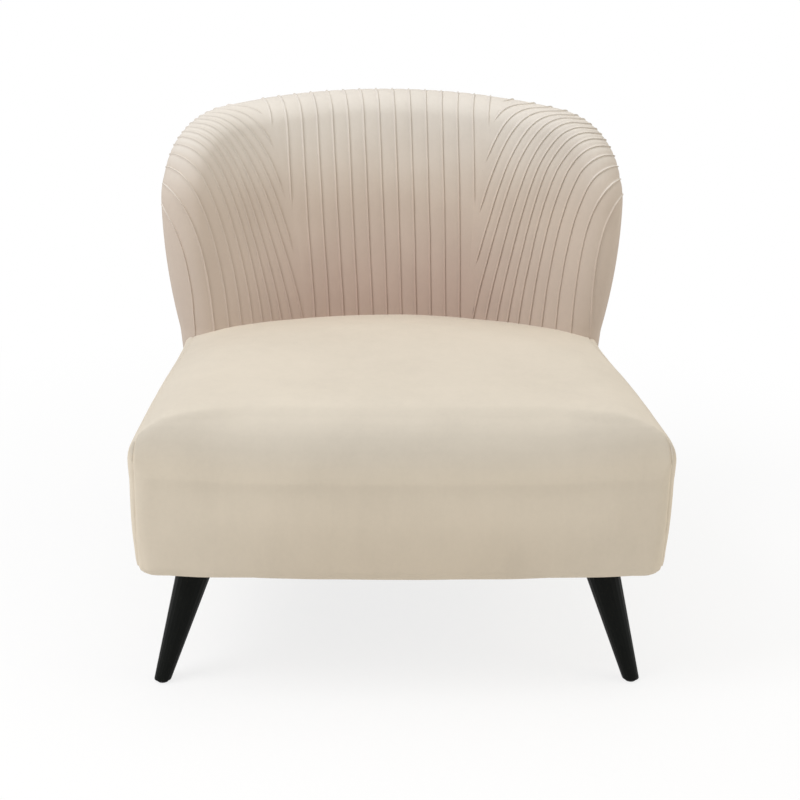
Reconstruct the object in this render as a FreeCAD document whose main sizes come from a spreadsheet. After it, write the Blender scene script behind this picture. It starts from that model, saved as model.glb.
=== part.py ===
# Armless barrel-back lounge chair: padded seat block on four splayed legs, flared back with pin tucks.
# Frame: millimetres, X across the chair, front towards -Y, Z up, origin on the floor under the middle.
import FreeCAD
import Part
import Sketcher
import math
import os

Vector = FreeCAD.Vector

doc = FreeCAD.newDocument("lounge_chair")

# Driving sizes
sheet = doc.addObject("Spreadsheet::Sheet", "Sizes")
SIZES = [
    ("overall_width", 762, "over the belly of the seat at widest_y"),
    ("overall_depth", 740, "front of the seat to the back of the rim"),
    ("overall_height", 760, "floor to the tuck crests on the rim"),
    ("base_bottom", 193, "underside of the seat block"),
    ("belly_level", 332, "where the seat block is widest"),
    ("crown_level", 423, "top of the seat crown"),
    ("bottom_inset", 14.5, "draw-in of the lower edge"),
    ("crown_inset", 200, "where the crown turns flat"),
    ("crown_power", 4.3, "squareness of the top roll"),
    ("lower_power", 2.2, "squareness of the lower edge"),
    ("front_bow", 14, "bow of the seat front"),
    ("front_corner", 28, "plan radius of the front corners"),
    ("rear_corner", 82, "plan radius of the rear corners"),
    ("side_taper", 5.6, "degrees that each side narrows to the rear"),
    ("widest_y", -309, "where the width is measured"),
    ("rear_radius", 571, "rear of the seat block about the barrel axis"),
    ("front_flats", 4, "flats along the bowed front"),
    ("corner_flats", 4, "flats round each corner in plan"),
    ("rear_flats", 12, "flats along the rounded rear"),
    ("cover_thickness", 2, "seat and back covers"),
    ("seam_inset_front", 22, "side seam from the belly line, at the front"),
    ("seam_inset_rear", 33, "side seam from the belly line, at the rear"),
    ("barrel_radius", 520, "middle of the back pad at barrel_level"),
    ("barrel_level", 414, "height where the barrel is measured"),
    ("recline", 10.5, "degrees that the barrel flares"),
    ("barrel_half_angle", 35.7, "degrees from the middle to the wing's spine"),
    ("core_half_angle", 60, "degrees that the seams' cone is carried round"),
    ("develop_radius", 560, "radius that turns barrel angle into length"),
    ("back_thickness", 82, "back pad over its covers"),
    ("back_bottom", 339, "lower end of the back pad"),
    ("wing_swell", 10, "how far a wing's side stands out beyond the barrel"),
    ("swell_level", 111, "slant height where it stands out most"),
    ("swell_reach", 125, "from there to where the swell ends, up and down"),
    ("swell_power", 4, "how closely the swell keeps to the wing's side"),
    ("shoulder_radius", 97, "corner of the rim's spine"),
    ("arch_radius", 2066, "top of the rim's spine"),
    ("crown_flats", 4, "flats over the crown of the rim"),
    ("seam_depth", 20, "rear seam behind the middle of the pad"),
    ("tuck_height", 3, "tuck above the cover"),
    ("tuck_base", 3.4, "tuck width at the cover"),
    ("tuck_crest", 1.6, "tuck width at its crest"),
    ("tuck_root", 1.2, "depth of the tuck in the cover"),
    ("tuck_roll_step", 24, "degrees of the roll from station to station of a tuck"),
    ("centre_tucks", 7, "straight tucks on each side of the middle one"),
    ("centre_pitch_low", 28.7, "straight tucks at barrel_level"),
    ("centre_pitch_high", 26.6, "straight tucks at the top of the spine"),
    ("wing_tucks", 15, "curved tucks of a wing"),
    ("wing_seam_tucks", 5, "curved tucks that start on the seam"),
    ("wing_seam_start", 341, "slant height of the first start on the seam"),
    ("wing_seam_step", 30.4, "step down the seam"),
    ("wing_seam_growth", 10.1, "growth of that step"),
    ("wing_seat_start", 171.3, "first start at the seat, along the barrel"),
    ("wing_seat_step", 21.5, "step along the seat"),
    ("wing_seat_growth", 0.405, "growth of that step"),
    ("wing_rim_start", 209, "first tuck at the rim, along the barrel"),
    ("wing_rim_step", 22.4, "step along the rim"),
    ("wing_rim_growth", -0.532, "growth of that step"),
    ("wing_rim_height", 348.7, "slant height of the first tuck at the rim"),
    ("wing_rim_fall", 4.66, "fall of each next tuck at the rim"),
    ("wing_shoulder_fall", 0.00015, "fall round the shoulder, with the fifth power"),
    ("wing_lean", 4.6, "degrees that the middle tuck leans out where it starts"),
    ("wing_lean_change", -27.4, "degrees from the middle tuck to the last"),
    ("wing_lean_curve", 4.9, "degrees more at both ends"),
    ("wing_droop", 16.8, "degrees that the middle tuck falls at the rim"),
    ("wing_droop_change", 10.2, "degrees from the middle tuck to the last"),
    ("wing_rise_share", 0.54, "handle of the curve at its start"),
    ("wing_run_share", 0.56, "handle of the curve at the rim"),
    ("wing_least_run", 20, "least run that the handle is taken from"),
    ("wing_stations", 7, "stations of the curve"),
    ("panel_shift", -8.5, "middle of the centre panel at barrel_level"),
    ("panel_lean", -14.2, "how far it leans up to the rim"),
    ("panel_half_width", 164, "centre panel at its waist"),
    ("panel_spread", 36, "how far the panel seam spreads to the top"),
    ("panel_waist", 71, "slant height of the waist"),
    ("panel_spread_rise", 30, "where the spread is measured, above the spine"),
    ("leg_top_diameter", 57, "leg under the seat, level section"),
    ("leg_foot_diameter", 25, "leg at the floor, level section"),
    ("leg_flats", 20, "flats round a leg"),
    ("leg_top", 194, "height of the leg's upper face"),
    ("glide_height", 4, "glide under a leg"),
    ("glide_diameter", 16, "glide under a leg"),
    ("front_top_x", 288, "front leg, upper end"),
    ("front_top_y", -256, "front leg, upper end"),
    ("front_foot_x", 344, "front leg, lower end"),
    ("front_foot_y", -285, "front leg, lower end"),
    ("rear_top_x", 250, "rear leg, upper end"),
    ("rear_top_y", 185, "rear leg, upper end"),
    ("rear_foot_x", 288, "rear leg, lower end"),
    ("rear_foot_y", 245, "rear leg, lower end"),
    ("bolt_diameter", 8, "hanger bolts and post bolts"),
    ("bolt_flats", 12, "flats round a bolt and its bore"),
    ("nut_flats", 6, "flats round a nut"),
    ("block_height", 33, "corner blocks"),
    ("rail_bottom", 195, "lower edge of the rails"),
    ("rail_top", 334, "upper edge of the rails"),
    ("rail_thickness", 25, "front and side rails"),
    ("side_pad", 24, "belly to the side rail"),
    ("front_pad", 35, "seat front to the front rail"),
    ("rear_pad", 14, "seat rear to the rear rail"),
    ("rear_rail_thickness", 22, "bent rear rail"),
    ("rear_rail_half_angle", 29.5, "degrees"),
    ("shell_thickness", 10, "bent plywood in the back"),
    ("shell_draw_in", 30, "plywood edge inside the rim's spine"),
    ("shell_bottom", 344, "lower edge of the plywood"),
    ("post_width", 45, "back posts"),
    ("post_thickness", 22, "back posts"),
    ("post_angle", 14, "degrees from the middle"),
    ("post_bottom", 224, "lower end of the posts"),
    ("post_top", 630, "upper end of the posts"),
    ("side_rail_rear", 165, "where the side rails end"),
    ("stretcher_width", 50, "board from front to rear"),
    ("stretcher_height", 40, "board from front to rear"),
    ("tee_nut_flange", 22, "tee nuts over the corner blocks"),
    ("tee_nut_barrel", 10, "tee nuts in the corner blocks"),
    ("nut_width", 15, "post bolt nuts over their corners"),
    ("nut_height", 6.5, "post bolt nuts"),
    ("webbing_width", 60, "straps"),
    ("webbing_thickness", 1.5, "straps"),
    ("dust_thickness", 1, "cloth under the frame"),
]
for row, (alias, value, note) in enumerate(SIZES, 1):
    sheet.set(f"A{row}", alias)
    sheet.set(f"B{row}", str(value))
    sheet.setAlias(f"B{row}", alias)
    sheet.set(f"C{row}", note)
doc.recompute()


def size(name):
    """Value of a driving size."""
    return float(sheet.get(name))


FLATNESS = 1e-7
SHIFT = size("cover_thickness")
HALF_PAD = size("back_thickness") / 2
RECLINE = math.radians(size("recline"))
LEVEL = size("barrel_level")
SPINE_TOP = size("overall_height") - HALF_PAD - size("tuck_height")


def barrel_radius(height):
    """Radius of the middle of the back pad at a height."""
    return size("barrel_radius") + (height - LEVEL) * math.tan(RECLINE)


AXIS_Y = size("overall_depth") / 2 - HALF_PAD - barrel_radius(SPINE_TOP)
DEVELOP = size("develop_radius")
EDGE = DEVELOP * math.radians(size("barrel_half_angle"))
SHOULDER = size("shoulder_radius")
ARCH = size("arch_radius")
TOP = (SPINE_TOP - LEVEL) / math.cos(RECLINE)
ARCH_CENTRE = TOP - ARCH
SHOULDER_S = EDGE - SHOULDER
SHOULDER_L = ARCH_CENTRE + math.sqrt((ARCH - SHOULDER) ** 2 - SHOULDER_S ** 2)
ARCH_SINE = SHOULDER_S / (ARCH - SHOULDER)


def arc_points(first, middle, last, flats):
    """Points at equal steps along an arc, without its first one."""
    return Part.Arc(first, middle, last).toShape().discretize(Number=int(size(flats)) + 1)[1:]


def flat_sides(a, b, c, d):
    """One flat face through four points, or two where the four are not in one plane."""
    normal = (b - a).cross(c - a).normalize()
    if abs(normal.dot(d - a)) < FLATNESS:
        return [Part.Face(Part.makePolygon([a, b, c, d, a]))]
    return [Part.Face(Part.makePolygon([a, b, c, a])), Part.Face(Part.makePolygon([a, c, d, a]))]


def flat_cap(ring):
    """Flat faces that close a ring: one where it lies in a plane, else strips across it."""
    wire = Part.makePolygon(ring + ring[:1])
    if wire.findPlane(FLATNESS):
        return [Part.Face(wire)]
    last = len(ring) - 1
    faces = []
    for i in range(last // 2):
        if i + 1 == last - i - 1:
            faces.append(Part.Face(Part.makePolygon([ring[i], ring[i + 1], ring[last - i], ring[i]])))
        else:
            faces += flat_sides(ring[i], ring[i + 1], ring[last - i - 1], ring[last - i])
    return faces


def flat_loft(rings):
    """Solid through closed rings of points, with flat sides from ring to ring."""
    faces = []
    for low, high in zip(rings, rings[1:]):
        for i in range(len(low)):
            faces += flat_sides(low[i - 1], low[i], high[i], high[i - 1])
    faces += flat_cap(rings[0]) + flat_cap(rings[-1])
    shell = Part.makeShell(faces)
    shell.sewShape()
    solid = Part.makeSolid(shell)
    if solid.Volume < 0:
        solid.reverse()
    return solid


# Seat block: plan outlines lofted up through the belly, the top roll and the crown
def corner(origin, radius, line_point, along, inward, fillet, far):
    """Fillet between a line and a circle seen from inside: tangent on line, middle, tangent on circle."""
    start = line_point + inward * fillet
    gap = start - origin
    half = gap.dot(along)
    root = math.sqrt(half ** 2 - gap.dot(gap) + (radius - fillet) ** 2)
    centre = start + along * (-half + root if far else -half - root)
    to_circle = (centre - origin).normalize()
    to_line = inward * -1
    middle = (to_circle + to_line).normalize()
    return centre + to_line * fillet, centre + middle * fillet, centre + to_circle * fillet


def side_x(y, inset):
    """Half width of the seat block at y, drawn in by an inset."""
    taper = math.radians(size("side_taper"))
    return size("overall_width") / 2 - (y - size("widest_y")) * math.tan(taper) - inset / math.cos(taper)


def plan_outline(height, front, side, rear, front_fillet, rear_fillet, bow):
    """Ring of points in plan at a height, drawn in from the belly by an inset on each side."""
    taper = math.radians(size("side_taper"))
    along = Vector(-math.sin(taper), math.cos(taper), 0)
    inward = Vector(-math.cos(taper), -math.sin(taper), 0)
    on_side = Vector(side_x(0, side), 0, 0)
    bow_radius = (size("overall_width") / 2) ** 2 / (2 * bow)
    front_y = -size("overall_depth") / 2
    front_origin = Vector(0, front_y + bow_radius, 0)
    rear_origin = Vector(0, AXIS_Y, 0)
    rear_radius = size("rear_radius") - rear
    side_low, low_mid, front_end = corner(front_origin, bow_radius - front, on_side, along, inward,
                                          front_fillet, False)
    side_high, high_mid, rear_end = corner(rear_origin, rear_radius, on_side, along, inward,
                                           rear_fillet, True)
    lift = Vector(0, 0, height)
    right = [p + lift for p in (front_end, low_mid, side_low, side_high, high_mid, rear_end)]
    left = [Vector(-p.x, p.y, p.z) for p in right]
    front_mid = Vector(0, front_y + front, height)
    rear_mid = Vector(0, AXIS_Y + rear_radius, height)
    points = arc_points(left[0], front_mid, right[0], "front_flats")
    points += arc_points(right[0], right[1], right[2], "corner_flats")
    points.append(right[3])
    points += arc_points(right[3], right[4], right[5], "corner_flats")
    points += arc_points(right[5], rear_mid, left[5], "rear_flats")
    points += arc_points(left[5], left[4], left[3], "corner_flats")
    points.append(left[2])
    points += arc_points(left[2], left[1], left[0], "corner_flats")
    return points


def crown_height(inset):
    """Height of the seat's top roll at an inset from the belly."""
    power = size("crown_power")
    part = max(0.0, 1 - inset / size("crown_inset"))
    rise = size("crown_level") - size("belly_level")
    return size("belly_level") + rise * (1 - part ** power) ** (1 / power)


def lower_inset(height):
    """Draw-in of the seat block below its belly."""
    power = size("lower_power")
    part = (size("belly_level") - height) / (size("belly_level") - size("base_bottom"))
    return size("bottom_inset") * (1 - (1 - part ** power) ** (1 / power))


# Stations of the seat block: parts of the height below the belly, then parts of the crown's inset
LOWER_PARTS = (0, 0.1, 0.45)
TOP_PARTS = (0, 0.0125, 0.045, 0.11, 0.225, 0.425, 0.7, 1)


def seat_form(offset):
    """The seat block as one loft, drawn in by an offset."""
    base = size("base_bottom")
    belly = size("belly_level")
    levels = [base + (belly - base) * part for part in LOWER_PARTS]
    stations = [(height, lower_inset(height)) for height in levels]
    for part in TOP_PARTS:
        inset = size("crown_inset") * part
        stations.append((crown_height(inset), inset))
    rings = []
    for height, inset in stations:
        drawn = inset + offset
        rings.append(plan_outline(height - offset, drawn, drawn, drawn,
                                  size("front_corner"), size("rear_corner"), size("front_bow")))
    return flat_loft(rings)


# Back pad: a cone about an upright axis; its rim is a half-round roll about a spine of lines and arcs
def wing_swell(along, up):
    """How far a point stands out sideways in the swell of a wing."""
    part = (up - size("swell_level")) / size("swell_reach")
    share = min(1.0, abs(along) / EDGE) ** size("swell_power")
    return math.copysign(size("wing_swell") * max(0.0, 1 - part ** 2) * share, along)


def on_barrel(along, up, out):
    """Point at a length along the barrel and up its slant, raised by out towards the sitter."""
    angle = (along + wing_swell(along, up)) / DEVELOP
    height = LEVEL + up * math.cos(RECLINE)
    reach = barrel_radius(height) - out * math.cos(RECLINE)
    return Vector(reach * math.sin(angle), AXIS_Y + reach * math.cos(angle), height + out * math.sin(RECLINE))


def spine_up(along, grow, draw_in):
    """Slant height of the rim's spine, or of a line set out from it by grow."""
    along = abs(along)
    arch = ARCH + grow - draw_in
    if along <= arch * ARCH_SINE:
        return ARCH_CENTRE + math.sqrt(arch ** 2 - along ** 2)
    reach = max(0.0, (SHOULDER + grow - draw_in) ** 2 - (along - SHOULDER_S) ** 2)
    return SHOULDER_L + math.sqrt(reach)


def back_section(along, half, spring, apex, bottom):
    """Arched section of the back pad in an upright plane through the barrel axis."""
    rise = apex - spring
    lean = math.atan2(half, rise)
    c = math.cos(lean)
    s = math.sin(lean)
    side = (half * (1 - s) - rise * c) / (1 - c - s)
    crown = (rise * (1 - c) - half * s) / (1 - c - s)

    def point(out, up):
        return on_barrel(along, up, out)

    def side_point(angle, way):
        return point(way * (half - side + side * math.cos(angle)), spring + side * math.sin(angle))

    def foot(out):
        return point(out, (bottom - LEVEL - out * math.sin(RECLINE)) / math.cos(RECLINE))

    front = [side_point(lean * part, 1) for part in (0, 0.5, 1)]
    rear = [side_point(lean * part, -1) for part in (0.5, 0)]
    over = arc_points(front[-1], point(0, apex), side_point(lean, -1), "crown_flats")
    return [foot(half)] + front + over + rear + [foot(-half)]


# Stations of the back from its middle: parts of the way to the spine, then parts of the roll's half thickness
FACE_PARTS = (0.15, 0.3, 0.45, 0.6, 0.75, 0.9, 1)
ROLL_PARTS = (0.45, 0.8, 0.99)


def back_stations(edge, half):
    """Lengths along the barrel where the back is measured, closer where the rim turns down and round."""
    stations = [edge * part for part in FACE_PARTS]
    stations += [edge + half * part for part in ROLL_PARTS]
    return [-along for along in reversed(stations)] + [0] + stations


def back_form(half, draw_in, bottom):
    """The back pad as one loft round the barrel, with a half-round rim of the given half thickness."""
    edge = EDGE - draw_in
    rings = []
    for along in back_stations(edge, half):
        beyond = max(0.0, abs(along) - edge)
        width = math.sqrt(half ** 2 - beyond ** 2)
        spring = spine_up(min(abs(along), edge), 0, draw_in)
        apex = spine_up(along, half, draw_in)
        rings.append(back_section(along, width, spring, apex, bottom))
    return flat_loft(rings)


def barrel_core(out):
    """Solid inside the barrel's cone, out to a distance behind the middle of the pad."""
    beyond = math.radians(size("core_half_angle"))
    angles = [-beyond] + [along / DEVELOP for along in back_stations(EDGE, HALF_PAD)] + [beyond]
    front = Vector(0, -2 * size("overall_depth"), 0)
    aside = Vector(2 * size("overall_width"), 0, 0)
    rings = []
    for height in (size("base_bottom") - HALF_PAD, size("overall_height") + HALF_PAD):
        reach = barrel_radius(height) + out / math.cos(RECLINE)
        lift = Vector(0, 0, height)
        ring = [front - aside + lift]
        ring += [Vector(reach * math.sin(a), AXIS_Y + reach * math.cos(a), height) for a in angles]
        rings.append(ring + [front + aside + lift])
    return flat_loft(rings)


# Pin tucks: paths on the developed back, raised as ridges that follow the padded surface over the rim
def rim_offset(along, up):
    """How far a point of the developed back lies outside the rim's spine, and the way out."""
    way = -1 if along < 0 else 1
    reach = abs(along)
    if math.atan2(reach, up - ARCH_CENTRE) <= math.asin(ARCH_SINE):
        far = math.hypot(reach, up - ARCH_CENTRE)
        return far - ARCH, way * reach / far, (up - ARCH_CENTRE) / far
    across = reach - SHOULDER_S
    above = up - SHOULDER_L
    if across > 0 and above > 0:
        far = math.hypot(across, above)
        return far - SHOULDER, way * across / far, above / far
    return reach - EDGE, way, 0


def padded_point(along, up, half):
    """Point on the padded surface: on the barrel's face, or round the roll beyond the rim's spine."""
    out, way_along, way_up = rim_offset(along, up)
    if out <= 0:
        return on_barrel(along, up, half)
    turn = math.pi / 2 - out / HALF_PAD
    reach = half * math.cos(turn) - out
    return on_barrel(along + way_along * reach, up + way_up * reach, half * math.sin(turn))


ROLL_STEP = HALF_PAD * math.radians(size("tuck_roll_step"))
ROLL_LENGTH = HALF_PAD * (math.pi / 2 + math.asin(size("seam_depth") / HALF_PAD))
SEAT_CLEARANCE = 1


def seat_line(along):
    """Slant height where the padded face comes out of the seat."""
    up = -HALF_PAD
    while True:
        point = on_barrel(along, up, HALF_PAD)
        rear = size("rear_radius") - math.hypot(point.x, point.y - AXIS_Y)
        side = (side_x(point.y, 0) - abs(point.x)) * math.cos(math.radians(size("side_taper")))
        if point.z > crown_height(min(rear, side)) + SEAT_CLEARANCE:
            return up
        up += SEAT_CLEARANCE / 2


def panel_centre(up):
    """Middle of the centre panel, which leans a little to one side."""
    return size("panel_shift") + size("panel_lean") * up / TOP


def panel_seam(up):
    """Half width of the centre panel between its two seams."""
    waist = size("panel_waist")
    part = (up - waist) / (TOP + size("panel_spread_rise") - waist)
    return size("panel_half_width") + size("panel_spread") * part ** 2


def over_roll(path, along_step, up_step):
    """Carry a path on in one direction until it meets the rear seam."""
    along, up = path[-1]
    while rim_offset(along, up)[0] < ROLL_LENGTH:
        along += along_step
        up += up_step
        path.append((along, up))
    return path


def centre_path(index):
    """A straight tuck of the centre panel, counted from the middle one."""
    low_pitch = size("centre_pitch_low")
    high_pitch = size("centre_pitch_high")

    def along_at(up):
        return panel_centre(up) + index * (low_pitch + (high_pitch - low_pitch) * up / TOP)

    clear = size("tuck_base")
    start = seat_line(along_at(0))
    while abs(along_at(start) - panel_centre(start)) > panel_seam(start) - clear:
        start += 1
    end = spine_up(along_at(TOP), 0, 0)
    path = [(along_at(start), start)]
    if end > start + ROLL_STEP:
        path.append((along_at(end), end))
    lean = (along_at(TOP) - along_at(0)) / TOP
    return over_roll(path, lean * ROLL_STEP, ROLL_STEP)


def wing_path(index, way):
    """A curved tuck of a wing: up from the seam or the seat, then over to the rim."""
    last = size("wing_tucks") - 1
    from_seam = size("wing_seam_tucks")
    if index < from_seam:
        low_up = size("wing_seam_start") - size("wing_seam_step") * index
        low_up -= size("wing_seam_growth") * index ** 2
        low_along = panel_seam(low_up) + way * panel_centre(low_up) + 2 * size("tuck_base")
    else:
        j = index - from_seam
        low_along = size("wing_seat_start") + size("wing_seat_step") * j
        low_along += size("wing_seat_growth") * j ** 2
        low_along += way * panel_centre(0) * (1 - j / (last - from_seam))
        low_up = seat_line(low_along)
    high_along = size("wing_rim_start") + size("wing_rim_step") * index
    high_along += size("wing_rim_growth") * index ** 2
    high_up = size("wing_rim_height") - size("wing_rim_fall") * index
    high_up -= size("wing_shoulder_fall") * index ** 5
    turn = 2 * index / last - 1
    lean = size("wing_lean") + size("wing_lean_change") * turn + size("wing_lean_curve") * turn ** 2
    lean = math.radians(lean)
    droop = math.radians(size("wing_droop") + size("wing_droop_change") * turn)
    rise = size("wing_rise_share") * (high_up - low_up)
    run = size("wing_run_share") * max(high_along - low_along, size("wing_least_run"))
    poles = [
        (low_along, low_up),
        (low_along + rise * math.sin(lean), low_up + rise * math.cos(lean)),
        (high_along - run * math.cos(droop), high_up + run * math.sin(droop)),
        (high_along, high_up),
    ]
    count = int(size("wing_stations"))
    path = []
    for step in range(count):
        t = step / (count - 1)
        weights = ((1 - t) ** 3, 3 * (1 - t) ** 2 * t, 3 * (1 - t) * t ** 2, t ** 3)
        path.append(tuple(sum(w * pole[axis] for w, pole in zip(weights, poles)) for axis in (0, 1)))
    out, out_along, out_up = rim_offset(high_along, high_up)
    along_step = math.cos(droop) + out_along
    up_step = out_up - math.sin(droop)
    scale = ROLL_STEP / math.hypot(along_step, up_step)
    path = over_roll(path, along_step * scale, up_step * scale)
    return [(way * along, up) for along, up in path]


def tuck(path):
    """One raised tuck along a path."""
    rings = []
    for i, (along, up) in enumerate(path):
        here = padded_point(along, up, HALF_PAD)
        raised = (padded_point(along, up, HALF_PAD + 1) - here).normalize()
        before = padded_point(*path[max(i - 1, 0)], HALF_PAD)
        after = padded_point(*path[min(i + 1, len(path) - 1)], HALF_PAD)
        across = raised.cross(after - before).normalize()
        root = here - raised * size("tuck_root")
        crest = here + raised * size("tuck_height")
        rings.append([
            root - across * (size("tuck_base") / 2),
            root + across * (size("tuck_base") / 2),
            crest + across * (size("tuck_crest") / 2),
            crest - across * (size("tuck_crest") / 2),
        ])
    return flat_loft(rings)


# Building helpers
nodes = []


def keep(item, label):
    """Mark a document object as a piece of the chair."""
    item.Label = label
    nodes.append(item)


def keep_shape(shape, label):
    """Keep a computed form as a piece of the chair, with its faces turned outwards."""
    if shape.Volume < 0:
        shape.reverse()
    item = doc.addObject("Part::Feature", label)
    item.Shape = shape
    keep(item, label)


def largest(shape):
    """The main solid of a cut, without slivers."""
    return max(shape.Solids, key=lambda solid: solid.Volume)


def placed(base, direction):
    """Placement that takes the Z axis to a direction."""
    return FreeCAD.Placement(base, FreeCAD.Rotation(Vector(0, 0, 1), direction))


def cylinder(name, radius, height, base, direction=Vector(0, 0, 1)):
    """Cylinder whose sizes are expressions."""
    item = doc.addObject("Part::Cylinder", name)
    item.setExpression("Radius", radius)
    item.setExpression("Height", height)
    item.Placement = placed(base, direction)
    return item


def box(name, length, width, height, base):
    """Box whose sizes are expressions."""
    item = doc.addObject("Part::Box", name)
    item.setExpression("Length", length)
    item.setExpression("Width", width)
    item.setExpression("Height", height)
    item.Placement.Base = base
    return item


def prism(name, flats, radius, height, base, direction=Vector(0, 0, 1)):
    """Prism with a number of flats, whose sizes are expressions."""
    item = doc.addObject("Part::Prism", name)
    item.Polygon = int(size(flats))
    item.setExpression("Circumradius", radius)
    item.setExpression("Height", height)
    item.Placement = placed(base, direction)
    return item


def cut(name, base, tool):
    """One object less another."""
    item = doc.addObject("Part::Cut", name)
    item.Base = base
    item.Tool = tool
    return item


def group(name, items):
    """Separate solids kept as one piece."""
    item = doc.addObject("Part::Compound", name)
    item.Links = items
    return item


def base_plane(body):
    """The XY plane of a body's own origin."""
    return next(item for item in body.Origin.OriginFeatures if item.Role == "XY_Plane")


def new_sketch(body, name):
    """Empty sketch on a body's XY plane."""
    sketch = body.newObject("Sketcher::SketchObject", name)
    sketch.AttachmentSupport = [(base_plane(body), "")]
    sketch.MapMode = "FlatFace"
    return sketch


def add_pad(body, sketch, height, name):
    """Pad of a sketch by an expression."""
    pad = body.newObject("PartDesign::Pad", name)
    pad.Profile = sketch
    pad.setExpression("Length", height)
    body.Tip = pad
    return pad


def board(name, length, width, height):
    """Board with its lower corner at its own origin; its sizes are expressions."""
    body = doc.addObject("PartDesign::Body", name)
    sketch = new_sketch(body, name + "_profile")
    corners = [Vector(0, 0, 0), Vector(1, 0, 0), Vector(1, 1, 0), Vector(0, 1, 0)]
    for i in range(4):
        sketch.addGeometry(Part.LineSegment(corners[i], corners[(i + 1) % 4]))
    for i in range(4):
        sketch.addConstraint(Sketcher.Constraint("Coincident", i, 2, (i + 1) % 4, 1))
    for i, kind in enumerate(("Horizontal", "Vertical", "Horizontal", "Vertical")):
        sketch.addConstraint(Sketcher.Constraint(kind, i))
    sketch.addConstraint(Sketcher.Constraint("Coincident", 0, 1, -1, 1))
    long_one = sketch.addConstraint(Sketcher.Constraint("DistanceX", 0, 1, 0, 2, 1))
    wide_one = sketch.addConstraint(Sketcher.Constraint("DistanceY", 1, 1, 1, 2, 1))
    sketch.setExpression(f"Constraints[{long_one}]", length)
    sketch.setExpression(f"Constraints[{wide_one}]", width)
    add_pad(body, sketch, height, name + "_pad")
    return body


SIDES = (("left", -1), ("right", 1))


# Legs, glides, hanger bolts and tee nuts
def level_ring(centre, diameter):
    """Level ring of points about a centre."""
    count = int(size("leg_flats"))
    radius = size(diameter) / 2
    turns = [2 * math.pi * step / count for step in range(count)]
    return [centre + Vector(math.cos(turn), math.sin(turn), 0) * radius for turn in turns]


LEG_ENDS = [
    (row, side, Vector(way * size(row + "_top_x"), size(row + "_top_y"), size("leg_top")),
     Vector(way * size(row + "_foot_x"), size(row + "_foot_y"), size("glide_height")))
    for row in ("front", "rear") for side, way in SIDES
]
BOLT_REACH = 36
BOLT_END = 6
TEE_FLANGE = 1.5
TEE_BARREL = 12
SPARE = 10
BOLT_RADIUS = "Sizes.bolt_diameter / 2"
hanger_bolts = []
tee_nuts = []
glides = []
block_bores = {}
for row, side, top, foot in LEG_ENDS:
    name = f"leg_{row}_{side}"
    blank = doc.addObject("Part::Feature", name + "_blank")
    blank.Shape = flat_loft([level_ring(foot, "leg_foot_diameter"), level_ring(top, "leg_top_diameter")])
    low = Vector(top.x, top.y, top.z - BOLT_REACH)
    bolt = prism(name + "_bolt", "bolt_flats", BOLT_RADIUS,
                 f"Sizes.block_height + {BOLT_REACH + BOLT_END}", low)
    hanger_bolts.append(bolt)
    keep(cut(name, blank, bolt), name)
    seat = Vector(top.x, top.y, size("rail_bottom") + size("block_height"))
    flange = prism(name + "_flange", "nut_flats", "Sizes.tee_nut_flange / 2", f"{TEE_FLANGE} mm", seat)
    barrel = prism(name + "_barrel", "bolt_flats", "Sizes.tee_nut_barrel / 2", f"{TEE_BARREL} mm",
                   seat - Vector(0, 0, TEE_BARREL))
    nut = doc.addObject("Part::Fuse", name + "_nut_blank")
    nut.Base = flange
    nut.Tool = barrel
    tee_nuts.append(cut(name + "_nut", nut, bolt))
    block_bores[row, side] = prism(name + "_bore", "bolt_flats", "Sizes.tee_nut_barrel / 2",
                                   f"Sizes.block_height + {2 * SPARE}",
                                   Vector(top.x, top.y, size("rail_bottom") - SPARE))
    glides.append(cylinder(name + "_glide", "Sizes.glide_diameter / 2", "Sizes.glide_height",
                           Vector(foot.x, foot.y, 0)))
keep(group("hanger_bolt_set", hanger_bolts), "leg_hanger_bolts")
keep(group("tee_nut_set", tee_nuts), "leg_tee_nuts")
keep(group("glide_set", glides), "foot_glides")

# Seat frame
TAPER = size("side_taper")
INNER_FACE = size("side_pad") + size("rail_thickness")
FRAME_BOW = 0.5
FRONT_FACE = -size("overall_depth") / 2 + size("front_pad") + FRAME_BOW
FRONT_REAR = FRONT_FACE + size("rail_thickness")
RAIL_HEIGHT = "Sizes.rail_top - Sizes.rail_bottom"
half_front = side_x(FRONT_REAR, size("side_pad"))

front_rail = board("front_board", f"{2 * half_front} mm", "Sizes.rail_thickness", RAIL_HEIGHT)
front_rail.Placement.Base = Vector(-half_front, FRONT_FACE, size("rail_bottom"))
doc.recompute()
front_pad = front_rail.Tip
upright = [
    f"Edge{i}" for i, edge in enumerate(front_pad.Shape.Edges, 1)
    if edge.BoundBox.ZLength > 1 and edge.BoundBox.YMax - front_pad.Shape.BoundBox.YMin < 1
]
fillet = front_rail.newObject("PartDesign::Fillet", "front_board_corners")
fillet.Base = (front_pad, upright)
fillet.Radius = size("side_pad")
front_rail.Tip = fillet
keep(front_rail, "front_rail")

side_length = (size("side_rail_rear") - FRONT_REAR) / math.cos(math.radians(TAPER))
for side, way in SIDES:
    rail = board(f"{side}_board", "Sizes.rail_thickness", f"{side_length} mm",
                 RAIL_HEIGHT + " + Sizes.webbing_thickness")
    turn = math.radians(TAPER) * way
    origin = Vector(way * side_x(FRONT_REAR, INNER_FACE), FRONT_REAR, size("rail_bottom"))
    if way < 0:
        origin = origin - Vector(math.cos(turn), math.sin(turn), 0) * size("rail_thickness")
    rail.Placement = FreeCAD.Placement(origin, FreeCAD.Rotation(Vector(0, 0, 1), TAPER * way))
    keep(rail, f"{side}_rail")

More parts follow.
